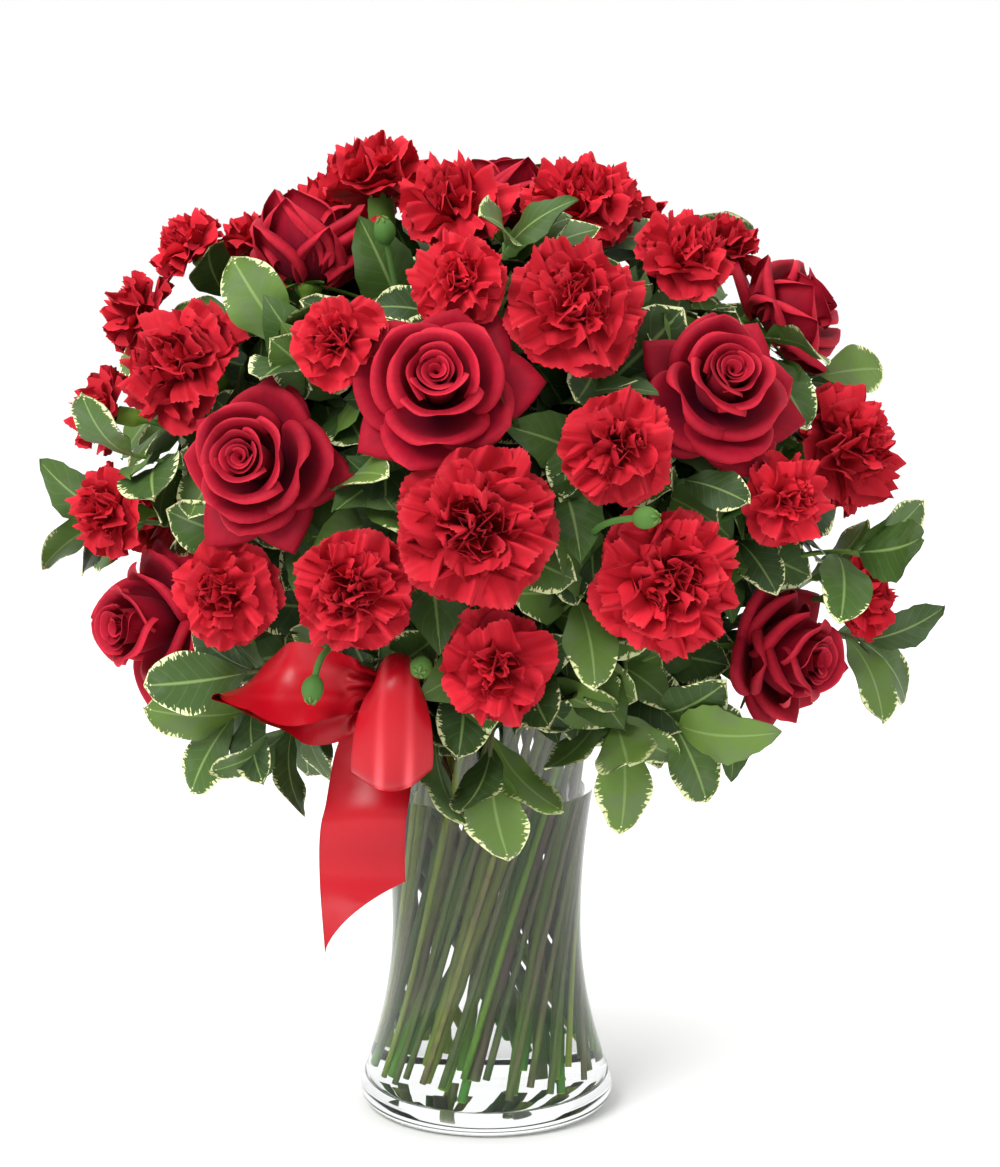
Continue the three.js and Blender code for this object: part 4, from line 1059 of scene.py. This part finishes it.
def in_bloom(points, share=BLOOM_CLEARANCE):
    """Whether a point is among a bloom's petals or at its calyx."""
    for bloom in blooms:
        from_mouth = points - bloom.mouth
        ahead = from_mouth @ bloom.facing
        beside = np.sqrt(np.maximum((from_mouth**2).sum(axis=1) - ahead**2, 0))
        among = np.linalg.norm(points - bloom.at, axis=1) < share * bloom.span
        kind = KINDS[bloom.kind]
        at_calyx = (ahead > -kind["calyx"]) & (beside < kind["calyx_radius"] + CALYX_CLEARANCE)
        if np.where(ahead > -LEAF_CLEARANCE / 2, among, at_calyx).any():
            return True
    return False


def grown_leaves(fixed, wood, twigs):
    """Every leaf of every twig, as in the CAD: a leaf without room turns, shrinks or is left out."""
    draw = seeded_random(LEAF_SEED)
    grown = []
    for i, (_, tips) in enumerate(TWIGS):
        others = np.vstack([fixed] + [w for k, w in enumerate(wood) if k != i])
        for j, (_, way, spread, leaves) in enumerate(tips):
            before, end = twigs[i][j][-2:]
            shoot = unit(end - before)
            start = 360 * draw()
            for k in range(leaves):
                lean = spread * (0.5 + 0.5 * k / (leaves - 1))
                length = LEAF_LENGTH * (0.85 + 0.3 * draw())
                root = end - shoot * LEAF_STAGGER * k
                for turn, size in LEAF_TRIES:
                    degrees = start + GOLDEN_ANGLE * k + turn
                    leaf = turned_leaf(root, direction(*way), lean, degrees, length * size)
                    at = leaf.samples()
                    if in_vase(at) or in_bloom(at) or near(at, others, LEAF_CLEARANCE):
                        continue
                    if any(near(at, g[2], OWN_CLEARANCE if g[0] == i else LEAF_CLEARANCE) for g in grown):
                        continue
                    grown.append((i, leaf, at))
                    break
    return grown


def add_leaf(piece, leaf, rng, kind, mesh, shade=1.0):
    """A waved blade with a rib and a short stalk. Kind 1 is a spoon with a cream margin, kind 0 has teeth.

    Its tones are its own number, how near each point is to the edge, its kind, and how far it is off the rib.
    """
    rows, cols, has_back = mesh
    l, w = lattice(rows, cols)
    off = np.abs(w)
    if kind:
        outline = 0.59 * np.sin(math.pi * np.minimum(l, 0.9999) ** 1.3) ** 0.66
        notch = 0.025 * np.sin(17 * l + rng.uniform(0, TAU))
    else:
        outline = 0.56 * np.sin(math.pi * np.minimum(l, 0.9999) ** 0.82) ** 0.82
        notch = np.where(np.arange(rows) % 2, 0.04, -0.03)[:, None]
    width = w * (outline * (1 + notch * off**3) + 0.012)
    phase = rng.uniform(0, TAU, 2)
    wave = 0.03 * np.sin(2.1 * TAU * l + phase[0] + np.sign(w) * phase[1]) * off**2
    cup = 0.1 * off**1.6 * rng.uniform(-0.5, 1) * outline
    arch = 0.26 * l - (0.34 + 0.16 * rng.random()) * l**2
    points = leaf.at(l, width, arch + wave * smooth_step(l, 0.05, 0.3) + cup + 0.012 * off**0.5)
    # A shade below 1 darkens the whole leaf: painted shade for leaves deep in the bouquet or over the rim
    own = shade * rng.random()
    edge = np.maximum(off * smooth_step(l, rng.uniform(-0.6, 0.5), 0.8), smooth_step(l, 0.8, 1.0))
    uv = stacked(0.5 + 0.5 * w, l)
    piece.grid(points, uv, stacked(own, edge, kind, off))
    if has_back:
        tone = stacked(own, edge, kind * 0.6, off)
        piece.grid((points - leaf.up * LEAF_THICKNESS)[:, ::-1], uv[:, ::-1], tone[:, ::-1])


def add_blade(piece, leaf, rows, taper, bend, fold, own):
    """A narrow leaf. It tapers by two powers, rises and falls by shares of its length, and is folded."""
    s, w = lattice(rows, 3)
    wide = 0.5 * (1 - s ** taper[0]) ** taper[1] * w
    piece.grid(leaf.at(s, wide, bend[0] * s - bend[1] * s**2 + fold * np.abs(w)), NO_PLACE, own)


def add_bud(piece, middle, way, rng):
    """A closed carnation bud: a green calyx with a seam of teeth over a tip of folded petals."""
    turn = turn_from_up(direction(*way))
    l = np.linspace(0, 1, 9)[:, None]
    angle = round_angles(CALYX_SIDES)
    profile = BUD_RADIUS * np.sin(math.pi * np.minimum(l * 0.96 + 0.04, 0.9999)) ** 0.5
    ribbed = profile * (1 + 0.035 * np.cos(5 * angle) * (0.3 + l))
    local = turned(ribbed, angle, (l - 0.5) * BUD_LENGTH)
    piece.grid(local @ turn.T + vec(*middle), NO_PLACE, (0.06 + 0.1 * rng.random(), 0, 0, 0), closed=True)
    for a in round_angles(5):
        out = vec(math.cos(a), math.sin(a), 0)
        base = out * BUD_RADIUS * 0.55 + vec(0, 0, BUD_LENGTH * 0.36)
        tip = out * BUD_RADIUS * 0.16 + vec(0, 0, BUD_LENGTH * 0.53)
        tooth = np.array([base, (base + tip) / 2 + out * 0.5 + vec(0, 0, 0.1), tip])
        piece.tube(tooth @ turn.T + vec(*middle), [0.7, 0.6, 0.15], 5, (0.3, 0.3, 0, 0))


def add_calyx(piece, bloom, rng):
    """The green tube under a carnation's petals with its five teeth, or a rose's hip and its sepals."""
    kind = KINDS[bloom.kind]
    length, radius, stem = kind["calyx"], kind["calyx_radius"], kind["stem"]
    l = np.linspace(0, 1, 8)[:, None]
    angle = round_angles(CALYX_SIDES)
    is_rose = bloom.kind == "rose"
    pointed = ROSE_TIP if is_rose else CARNATION_TIP
    if is_rose:
        profile = stem + (radius - stem) * np.sin(0.5 * math.pi * np.clip(1.6 * l, 0, 1)) ** 1.5
        profile = profile * (1 - 0.9 * smooth_step(l, 0.7, 1.05))
    else:
        profile = stem + (radius - stem) * smooth_step(l, 0.0, 0.45)
        profile = profile * (1 - 0.05 * smooth_step(l, 0.6, 1))
    local = turned(profile * (1 + 0.03 * np.cos(5 * angle)), angle, (l - 1) * length)
    tone = (0.3 + 0.3 * rng.random(), 0, 0, 0)
    piece.grid(local @ bloom.turn.T + bloom.mouth, NO_PLACE, tone, closed=True)
    for k in range(5):
        a = TAU * (k + rng.uniform(-0.06, 0.06)) / 5
        out = vec(math.cos(a), math.sin(a), 0)
        droop = rng.uniform(*DROOP) if is_rose else 0
        size = pointed["length"] * bloom.span / TIP_SPAN
        root = out * radius * 0.8 - vec(0, 0, pointed["drop"])
        way = unit(out * pointed["lean"] + vec(0, 0, pointed["rise"] - droop)) @ bloom.turn.T
        leaf = Leaf(root @ bloom.turn.T + bloom.mouth, way, bloom.facing + 0.1 * way, size,
                    size * pointed["width"])
        add_blade(piece, leaf, 7, (1, 0.7), (0.1, 0.25 * droop), 0.05, (0.35, 0, 0, 0))


def add_stem(piece, stem, rng):
    """One flower stem: its run with nodes or thorns, its branches, calyxes, buds and its cut foot.

    Its tones are its own number, how woody it is, and whether it is a cut end.
    """
    kind = KINDS[stem.kind]
    thick = kind["stem"] * (1.4 if stem.kind == "spray" else 1)
    wood = rng.uniform(0.25, 1) if stem.kind == "rose" else rng.choice([0, 0, 0.15, 0.5])
    tone = (rng.random(), wood, 0, 0)
    main, *branches = stem.ways(STEM_STEPS)
    run = run_along(main)
    fine = np.linspace(0, run[-1], int(run[-1] / STEM_RING))
    points = np.stack([np.interp(fine, run, main[:, k]) for k in range(3)], axis=1)
    radii = np.full(len(fine), thick, dtype=float)
    if stem.kind != "rose":
        for node in np.arange(rng.uniform(*FIRST_NODE), run[-1] - FIRST_NODE[0], rng.uniform(*NODE_STEP)):
            radii += NODE_SWELL * thick * np.exp(-((fine - node) / NODE_REACH) ** 2)
            add_bracts(piece, points, fine, node, thick, tone, rng)
    else:
        radii *= 1 + 0.06 * np.sin(fine / 9 + rng.uniform(0, TAU))
        add_thorns(piece, points, fine, thick, tone, rng)
    piece.tube(points, radii, STEM_SIDES, (*tone[:3], 1), ends=False)
    cut = np.array([points[0], points[0] + unit(points[0] - points[1]) * CUT_DEPTH])
    piece.tube(cut, [thick * 1.01, thick * 0.9], STEM_SIDES, (tone[0], 0, 1, 0))
    for branch in branches:
        radii = np.linspace(kind["stem"] * 1.15, kind["stem"], len(branch))
        piece.tube(branch, radii, STEM_SIDES, (0.1, wood, 0, 0), ends=False)
    for bloom in stem.heads:
        add_calyx(piece, bloom, rng)
    for _, middle, way in stem.buds:
        add_bud(piece, middle, way, rng)


def add_bracts(piece, points, fine, node, thick, tone, rng):
    """The stub of a pair of narrow leaves, as they are left on a stripped carnation stem."""
    i = int(np.searchsorted(fine, node))
    if i + 1 >= len(points) or points[i][2] < BRACTS_FROM:
        return
    way = unit(points[i + 1] - points[i])
    side = unit(np.cross(way, vec(0.3, 0.5, 1)))
    side = unit(side * math.cos(node) + np.cross(way, side) * math.sin(node))
    for off in (-side, side):
        size = rng.uniform(*(WET_BRACT if points[i][2] < VASE_HEIGHT else DRY_BRACT))
        leaf = Leaf(points[i] + off * thick * 0.8, unit(way + off * 0.4), off, size, BRACT_WIDTH)
        add_blade(piece, leaf, 6, (1.5, 1), (0, 0.3), 0.04, tone)


def add_thorns(piece, points, fine, thick, tone, rng):
    """Short hooked thorns on a rose stem."""
    for at in np.arange(THORNS_FROM + rng.uniform(0, 20), fine[-1] - 20, THORN_STEP):
        i = int(np.searchsorted(fine, at))
        way = unit(points[min(i + 1, len(points) - 1)] - points[i - 1])
        side = unit(np.cross(way, direction(rng.uniform(0, 360), 10)))
        root = points[i] + side * thick * 0.7
        hook = [root + side * out + way * up for out, up in THORN]
        piece.tube([root] + hook, THORN_RADII, 5, tone)


def add_stalks(piece):
    """The stalks of the filler foliage, which stand between the CAD's twigs in the vase."""
    rng = np.random.default_rng(STALK_SEED)
    reach, height = STALK_TIP
    for i, degrees in enumerate(STALKS):
        tip = (around(reach, degrees, height), (degrees, STALK_SLOPE))
        way = twig_ways(degrees, [tip], i + 1, STALK_STEPS)[0]
        tone = (rng.uniform(0.3, 1), rng.choice([0, 0.3, 0.9]), 0, 0)
        piece.tube(with_fine_foot(way), TWIG_RADIUS, STEM_SIDES, tone, slot=1)


class Filler:
    """More leaves on short shoots off the nearest stem or twig, wherever there is room for one."""

    def __init__(self, piece, parents, grown, keep_clear, rng):
        self.piece, self.parents, self.keep_clear, self.rng = piece, parents, keep_clear, rng
        self.low, self.high = (np.array(corner) / MM for corner in CAD_BOX)
        self.taken = np.array([samples for _, _, samples in grown])

    def has_room(self, points):
        if in_vase(points) or in_bloom(points, BLOOM_ROOM) or near(points, self.keep_clear, RIBBON_ROOM):
            return False
        if (points < self.low + BOX_ROOM).any() or (points > self.high - BOX_ROOM).any():
            return False
        apart = np.linalg.norm(self.taken.mean(axis=1) - points.mean(axis=0), axis=1)
        return not near(points, self.taken[apart < FAR_LEAF].reshape(-1, 3), FILLER_ROOM)

    def room_for(self, root, way, degrees, length, spread):
        """A leaf at a root, turned as little as finds it room, or none."""
        for turn in SHOOT_TRIES:
            leaf = turned_leaf(root, way, self.rng.uniform(*spread), degrees + turn, length)
            points = leaf.samples()
            if self.has_room(points):
                self.taken = np.concatenate([self.taken, points[None]])
                return leaf
        return None

    def shoot(self, root, out, length, kind):
        """A shoot that ends at a root and points outwards, with as many of its leaves as find room."""
        spread, cream, shade, mesh = SHOOTS[kind]
        rng = self.rng
        highest = root[2] + (HIGH_PARENT if root[2] > HIGH_SHOOT else LOW_PARENT)
        below = self.parents[self.parents[:, 2] < highest]
        if in_bloom(root[None, :], ROOT_ROOM) or not len(below):
            return
        parent = below[np.argmin(np.linalg.norm(below - root, axis=1))]
        way = unit(0.8 * unit(root - parent) + out)
        start = rng.uniform(0, 360)
        kept = []
        for i in range(SHOOT_LEAVES):
            size = length * rng.uniform(0.75, 1.1)
            foot = root - way * SHOOT_STAGGER * i
            kept.append(self.room_for(foot, way, start + GOLDEN_ANGLE * i, size, spread))
        kept = [leaf for leaf in kept if leaf]
        if not kept:
            return
        bend = root - way * 0.5 * np.linalg.norm(root - parent)
        radii = np.linspace(SHOOT_FOOT_RADIUS, SHOOT_RADIUS, 6)
        tone = (0.3 * rng.random(), 0, 0, 0)
        self.piece.tube(bezier([parent, bend, root], np.linspace(0, 1, 6)), radii, 5, tone, slot=1)
        for leaf in kept:
            add_leaf(self.piece, leaf, rng, 1 if rng.random() < cream else 0, mesh, shade)

    def round_rim(self):
        rng = self.rng
        for k in range(COLLAR_SHOOTS):
            radius, height, slope = COLLAR_TIERS[k % 3]
            degrees = 360 * k / COLLAR_SHOOTS + rng.uniform(-3, 3)
            root = around(radius + rng.uniform(-3, 3), degrees, height)
            out = direction(degrees + rng.uniform(-30, 30), slope)
            self.shoot(root, out, LEAF_LENGTH * rng.uniform(0.7, 1.15), "collar")

    def over_rim(self):
        rng = self.rng
        for k in range(NECK_SHOOTS):
            degrees = GOLDEN_ANGLE * k
            root = around(rng.uniform(*NECK_RADII), degrees, rng.uniform(*NECK_HEIGHTS))
            out = direction(degrees + rng.uniform(-40, 40), rng.uniform(-30, 15))
            self.shoot(root, out, LEAF_LENGTH, "neck")

    def among_blooms(self):
        """Shoots spread evenly through the bouquet, larger ones deep inside it, and darker there as painted
        shade.
        """
        for k in range(FILLER_SHOOTS):
            rise = 1 - FILLER_FALL * (k + 0.5) / FILLER_SHOOTS
            flat = math.sqrt(1 - rise**2)
            turn = math.radians(GOLDEN_ANGLE) * k
            out = vec(flat * math.cos(turn), flat * math.sin(turn), rise)
            depth = self.rng.uniform(*FILLER_DEPTHS)
            root = vec(*FILLER_MIDDLE) + out * vec(*FILLER_REACH) * depth
            inner = depth < INNER_DEPTH
            self.shoot(root, out, BIG_LEAF if inner else LEAF_LENGTH, "inner" if inner else "outer")


def lathe(name, profile, materials, is_second):
    """A closed body turned round the vase's axis. The profile starts and ends on the axis.

    The second material is for the faces whose place in the profile and middle height pass the test given.
    """
    angle = round_angles(LATHE_SIDES)
    profile = np.asarray(profile, dtype=float)
    rings = profile[1:-1]
    piece = Piece(name)
    piece.grid(turned(rings[:, :1], angle, rings[:, 1:]),
               stacked(angle / TAU, np.linspace(0, 1, len(rings))[:, None]), NO_TONE, closed=True)
    heights = (profile[1:-2, 1] + profile[2:-1, 1]) / 2
    piece.slots[0] = np.repeat([is_second(i, z) for i, z in enumerate(heights)], LATHE_SIDES)
    k = np.arange(LATHE_SIDES)
    for height, ring, step in ((profile[0, 1], 0, -1), (profile[-1, 1], len(rings) - 1, 1)):
        fan = stacked(piece.count, ring * LATHE_SIDES + k, ring * LATHE_SIDES + (k + 1) % LATHE_SIDES)
        piece.add([(0, 0, height)], fan[:, ::step] - piece.count, NO_PLACE, NO_TONE, is_second(-1, height))
    return piece.make(materials)


def arc(middle, radius, start, end, steps):
    """Points of a profile's round corner, from one angle in degrees to another."""
    a = np.radians(np.linspace(start, end, steps))
    return [(middle[0] + radius * math.cos(x), middle[1] + radius * math.sin(x)) for x in a]


def vase_wall(low, high, steps, inwards=0):
    """Radius and height up the outside of the vase, or so far inwards of it."""
    return [(float(vase_radius(z)) - inwards, z) for z in np.linspace(low, high, steps)]


def inside_wall(top, out):
    """The inside of the vase from its floor up to a height, moved outwards a little, as radius and height."""
    wall = vase_wall(FLOOR + FLOOR_ROUND, top, INNER_RINGS, WALL - out)
    corner = (wall[0][0] - FLOOR_ROUND, FLOOR + FLOOR_ROUND - out)
    return arc(corner, FLOOR_ROUND, -90, 0, 8)[:-1] + wall


def vase_glass(dry, wet):
    """The vase, whose second material is for the glass that the water touches."""
    lip = WALL / 2
    top = VASE_HEIGHT - lip
    outside = vase_wall(FOOT_HEIGHT, top, OUTER_RINGS)
    foot = arc((outside[0][0] - FOOT_ROUND, FOOT_ROUND), FOOT_ROUND, -90, -8, 9)
    inside = inside_wall(top, 0)[::-1] + [(0, FLOOR)]
    profile = SOLE + foot[1:] + outside + arc((float(vase_radius(VASE_HEIGHT)) - lip, top), lip, 12, 168, 8)
    first_inside = len(profile) - 1
    return lathe("vase_glass", profile + inside, [dry, wet],
                 lambda i, z: (i >= first_inside or z == FLOOR) and z < WATER_LEVEL)


def water_body(surface_look, wall_look):
    """The water, which wets the glass."""
    edge = float(vase_radius(WATER_LEVEL)) - WALL
    surface = [(edge + WATER_LAP, WATER_LEVEL + 0.3), (edge - 1.2, WATER_LEVEL), (0, WATER_LEVEL)]
    profile = [(0, FLOOR - WATER_LAP)] + inside_wall(WATER_LEVEL, WATER_LAP) + surface
    return lathe("water_body", profile, [surface_look, wall_look], lambda i, z: z < WATER_LEVEL - 0.5)


def ribbon_rows(rows):
    middles, ways, wides = (np.array(column, dtype=float) for column in zip(*rows))
    return middles, unit(ways), wides


def ribbon_points(runs):
    """Points along the ribbon's runs, which leaves keep clear of."""
    out = []
    for rows in runs:
        middles, ways, wides = ribbon_rows(rows)
        for w in (-0.5, -0.25, 0, 0.25, 0.5):
            out.append(along_way(middles + ways * (w * wides)[:, None]))
    return np.vstack(out)


def bend_across(s, gathered, phase):
    """How far a ribbon bends at each place across it: back at its ridges, to and fro where it is gathered."""
    left, right = RIDGES
    over = smooth_step(s, right - RIDGE_REACH, right + RIDGE_REACH)
    under = smooth_step(-s, -left - RIDGE_REACH, -left + RIDGE_REACH)
    return (1 - gathered) * (under - over) + gathered * np.sin(TAU * PLEATS * s + phase)


def section(s, width, bend):
    """The ribbon's cut across, bent as much as brings its flat width down to a width."""
    low, high = 0.0, math.pi
    step = RIBBON_WIDTH * (s[1] - s[0])
    for _ in range(HALVINGS):
        most = (low + high) / 2
        across = np.concatenate([[0], np.cumsum(np.cos(most * bend[1:]) * step)])
        low, high = (most, high) if np.ptp(across) > width else (low, most)
    up = np.concatenate([[0], np.cumsum(np.sin(most * bend[1:]) * step)])
    return across - (across.max() + across.min()) / 2, up - up.mean()


def ribbon_sheet(name, material, seed, pleated_below, ridge_highlight, cut, rows):
    """A run of satin ribbon, pleated where it is gathered at the knot. Its end can be cut aslant.

    Its tones are the strength of the painted highlight on its ridges, and how near each point is to the edge.
    """
    fine = spline(np.column_stack(ribbon_rows(rows)), RIBBON_STEPS)
    at, way, wide = fine[:, :3], fine[:, 3:6], np.minimum(fine[:, 6], RIBBON_WIDTH - 0.05)
    along = unit(np.gradient(at, axis=0))
    across = unit(way - along * (way * along).sum(axis=1, keepdims=True))
    s = np.linspace(-0.5, 0.5, RIBBON_COLS)
    phase = np.random.default_rng(seed).uniform(0, TAU)
    points = []
    for p, side, face, chord in zip(at, across, np.cross(along, across), wide):
        gathered = float(1 - smooth_step(chord, pleated_below - PLEAT_FADE, pleated_below))
        beside, off = section(s, chord, bend_across(s, gathered, phase))
        points.append(p + np.outer(beside, side) + np.outer(off, face))
    points = np.array(points)
    last = len(at) - 1
    ends = (1 - cut * (s + 0.5) ** 0.6) * last
    share = np.linspace(0, 1, len(at))[:, None] * ends
    before = np.minimum(share.astype(int), last - 1)
    column = np.arange(RIBBON_COLS)
    rest = (share - before)[..., None]
    points = points[before, column] * (1 - rest) + points[before + 1, column] * rest
    run = run_along(at)
    # Painted highlight on the ridges, stronger and weaker along the ribbon as light would fall on its waves
    lit = 0.6 + 0.4 * np.sin(TAU * 1.5 * np.linspace(0, 1, len(at)) + 0.8)[:, None]
    painted_highlight = ridge_highlight * lit * sum(np.exp(-((s - ridge) / 0.05) ** 2) for ridge in RIDGES)
    piece = Piece(name)
    piece.grid(points, stacked(s + 0.5, run[:, None] / RIBBON_WIDTH), stacked(painted_highlight, np.abs(2 * s), 0, 0))
    made = piece.make([material])
    return made, run[-1] * ends.mean() / last


def bow(material):
    """The bow: two loops and a tail of one ribbon, and the gathered ribbon that is wound round them."""
    knot = Piece("bow_knot")
    y = np.linspace(KNOT_BACK[1], KNOT_FRONT[1], KNOT_RINGS)[:, None]
    share = np.linspace(-1, 1, KNOT_RINGS)[:, None]
    angle = round_angles(KNOT_SIDES)
    radius = KNOT_RADIUS * (0.78 + 0.2 * np.sqrt(np.maximum(1 - share**2, 0)))
    radius = radius * (1 - 0.03 * np.cos(3 * angle + 2 * share))
    radius = radius + 0.35 * np.cos(11 * share + 2 * np.sin(angle))
    points = stacked(KNOT_FRONT[0] + radius * np.cos(angle), y, KNOT_FRONT[2] + radius * np.sin(angle))
    # The knot takes half the painted ridge highlight all over
    knot.grid(points, stacked(0.5 + 0.4 * share, angle), (0.5, 0, 0, 0), closed=True)
    made = knot.make([material])
    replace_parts(made, "bow")
    for name, drape in DRAPES.items():
        sheet, length = ribbon_sheet(name, material, **drape)
        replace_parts(sheet, "bow")


def pick(material):
    """The wire that holds the bow."""
    piece = Piece("bow_pick_wire")
    piece.tube(spline(PICK, WIRE_STEPS), WIRE_RADIUS * WIRE_SHARE, WIRE_SIDES, NO_TONE)
    made = piece.make([material])
    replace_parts(made, "bow_pick")


def dress_blooms(rose_look, carnation_look):
    for i, bloom in enumerate(blooms):
        grow, look = (rose, rose_look) if bloom.kind == "rose" else (carnation, carnation_look)
        made = grow(bloom, BLOOM_SEED + i).make([look])
        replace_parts(made, bloom.name)


def dress_stems(stems, material):
    piece = Piece("flower_stems_green")
    rng = np.random.default_rng(STEM_SEED)
    for stem in stems:
        add_stem(piece, stem, rng)
    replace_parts(piece.make([material]), "flower_stems")


def dress_twigs(stems, looks):
    """The CAD's twigs with their leaves, and the filler foliage round the rim and among the blooms."""
    wire = along_way(np.array(PICK, dtype=float))
    fixed = np.vstack([stem.coarse_points() for stem in stems] + [wire, ribbon_points(CAD_RUNS)])
    coarse = [twig_ways(degrees, tips, i) for i, (degrees, tips) in enumerate(TWIGS)]
    wood = [np.vstack([along_way(way) for way in ways]) for ways in coarse]
    grown = grown_leaves(fixed, wood, coarse)
    rng = np.random.default_rng(TWIG_SEED)
    parents = []
    for i, (degrees, tips) in enumerate(TWIGS):
        name = f"leaf_spray_{i + 1:02}"
        piece = Piece(name + "_leaves")
        main, *sides = twig_ways(degrees, tips, i, MAIN_STEPS, SIDE_STEPS)
        for points in [with_fine_foot(main)] + sides:
            radii = np.linspace(TWIG_RADIUS, TWIG_RADIUS * TWIG_TIP_SHARE, len(points))
            tone = (0.35 * rng.random(), rng.choice([0.2, 0.7]), 0, 0)
            piece.tube(points, radii, STEM_SIDES, tone, slot=1)
            parents.append(along_way(points))
        for leaf in (leaf for k, leaf, _ in grown if k == i):
            kind = 1 if rng.random() < CREAM_SHARE else 0
            add_leaf(piece, leaf.turned_to(vec(*CAMERA_PLACE)), rng, kind, TWIG_MESH)
        made = piece.make(looks)
        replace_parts(made, name)
    parents = np.vstack(parents + [along_way(stem.ways(STEM_STEPS)[0]) for stem in stems])
    parents = parents[parents[:, 2] > PARENTS_FROM]
    ribbon = ribbon_points([drape["rows"] for drape in DRAPES.values()])
    collar, inside = Piece("collar_leaves"), Piece("filler_leaves")
    filler = Filler(collar, parents, grown, np.vstack([wire, ribbon]), rng)
    filler.round_rim()
    add_stalks(collar)
    collar.make(looks)
    filler.piece = inside
    filler.over_rim()
    filler.among_blooms()
    inside.make(looks)


def stage():
    """A plain white floor, soft lights and the photograph's camera."""
    scene = bpy.context.scene
    bpy.ops.mesh.primitive_plane_add(size=FLOOR_SIZE)
    floor = bpy.context.object
    floor.name = "floor"
    look = Shader("floor", Roughness=0.6, Specular_IOR_Level=0.2)
    look.colour(look.mixed(look.noise(look.place(), 3.0), (0.955,) * 3, (0.965,) * 3))
    floor.data.materials.append(look.material)

    scene.world = bpy.data.worlds.new("studio")
    scene.world.use_nodes = True
    sky = scene.world.node_tree.nodes["Background"].inputs
    sky["Color"].default_value = (1, 1, 1, 1)
    sky["Strength"].default_value = SKY

    for name, place, size, power in LIGHTS:
        light = bpy.data.lights.new(name, "AREA")
        light.size = size
        light.energy = power
        lamp = bpy.data.objects.new(name, light)
        scene.collection.objects.link(lamp)
        lamp.location = [c * MM for c in place]
        aim = vec(*LIGHT_AIM) - vec(*place)
        tilt, turn = math.atan2(math.hypot(aim[0], aim[1]), -aim[2]), math.atan2(-aim[0], aim[1])
        lamp.rotation_euler = (tilt, 0, turn)

    camera = bpy.data.cameras.new("camera")
    camera.lens = CAMERA_LENS
    camera.sensor_width = SENSOR
    camera.clip_end = CAMERA_REACH
    seen = bpy.data.objects.new("camera", camera)
    scene.collection.objects.link(seen)
    seen.location = [c * MM for c in CAMERA_PLACE]
    seen.rotation_euler = (math.radians(90 + CAMERA_PITCH), 0, 0)
    bpy.context.scene.camera = seen
    scene.view_settings.view_transform = "Standard"


stage()
stem_look = stem_material()
leaf_look = leaf_material()
# Petal looks: painted shade at the base, the limb's own red, a painted highlight at the rim, where they fall,
# roughness, veins
dress_blooms(
    petal_material("rose_petals", (0.07, 0.003, 0.017), (0.35, 0.005, 0.02), (0.49, 0.013, 0.031),
                   (0.1, 0.66, 0.8, 0.9), 0.65, 26),
    petal_material("carnation_petals", (0.26, 0.006, 0.021), (0.56, 0.014, 0.028), (0.61, 0.03, 0.044),
                   (0.0, 0.4, 0.93, 1.0), 0.7, 34),
)
stems = flower_stems()
dress_stems(stems, stem_look)
dress_twigs(stems, [leaf_look, stem_look])
bow(satin_material())
pick(wire_material())
glass = vase_glass(clear_material("clear_glass", GLASS_TINT, GLASS_IOR),
                   clear_material("clear_glass_wet", WATER_TINT, GLASS_IOR / WATER_IOR))
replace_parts(glass, "vase")
still = water_body(clear_material("water", WATER_TINT, WATER_IOR),
                   clear_material("water_wall", (1, 1, 1), 1.0))
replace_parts(still, "water")
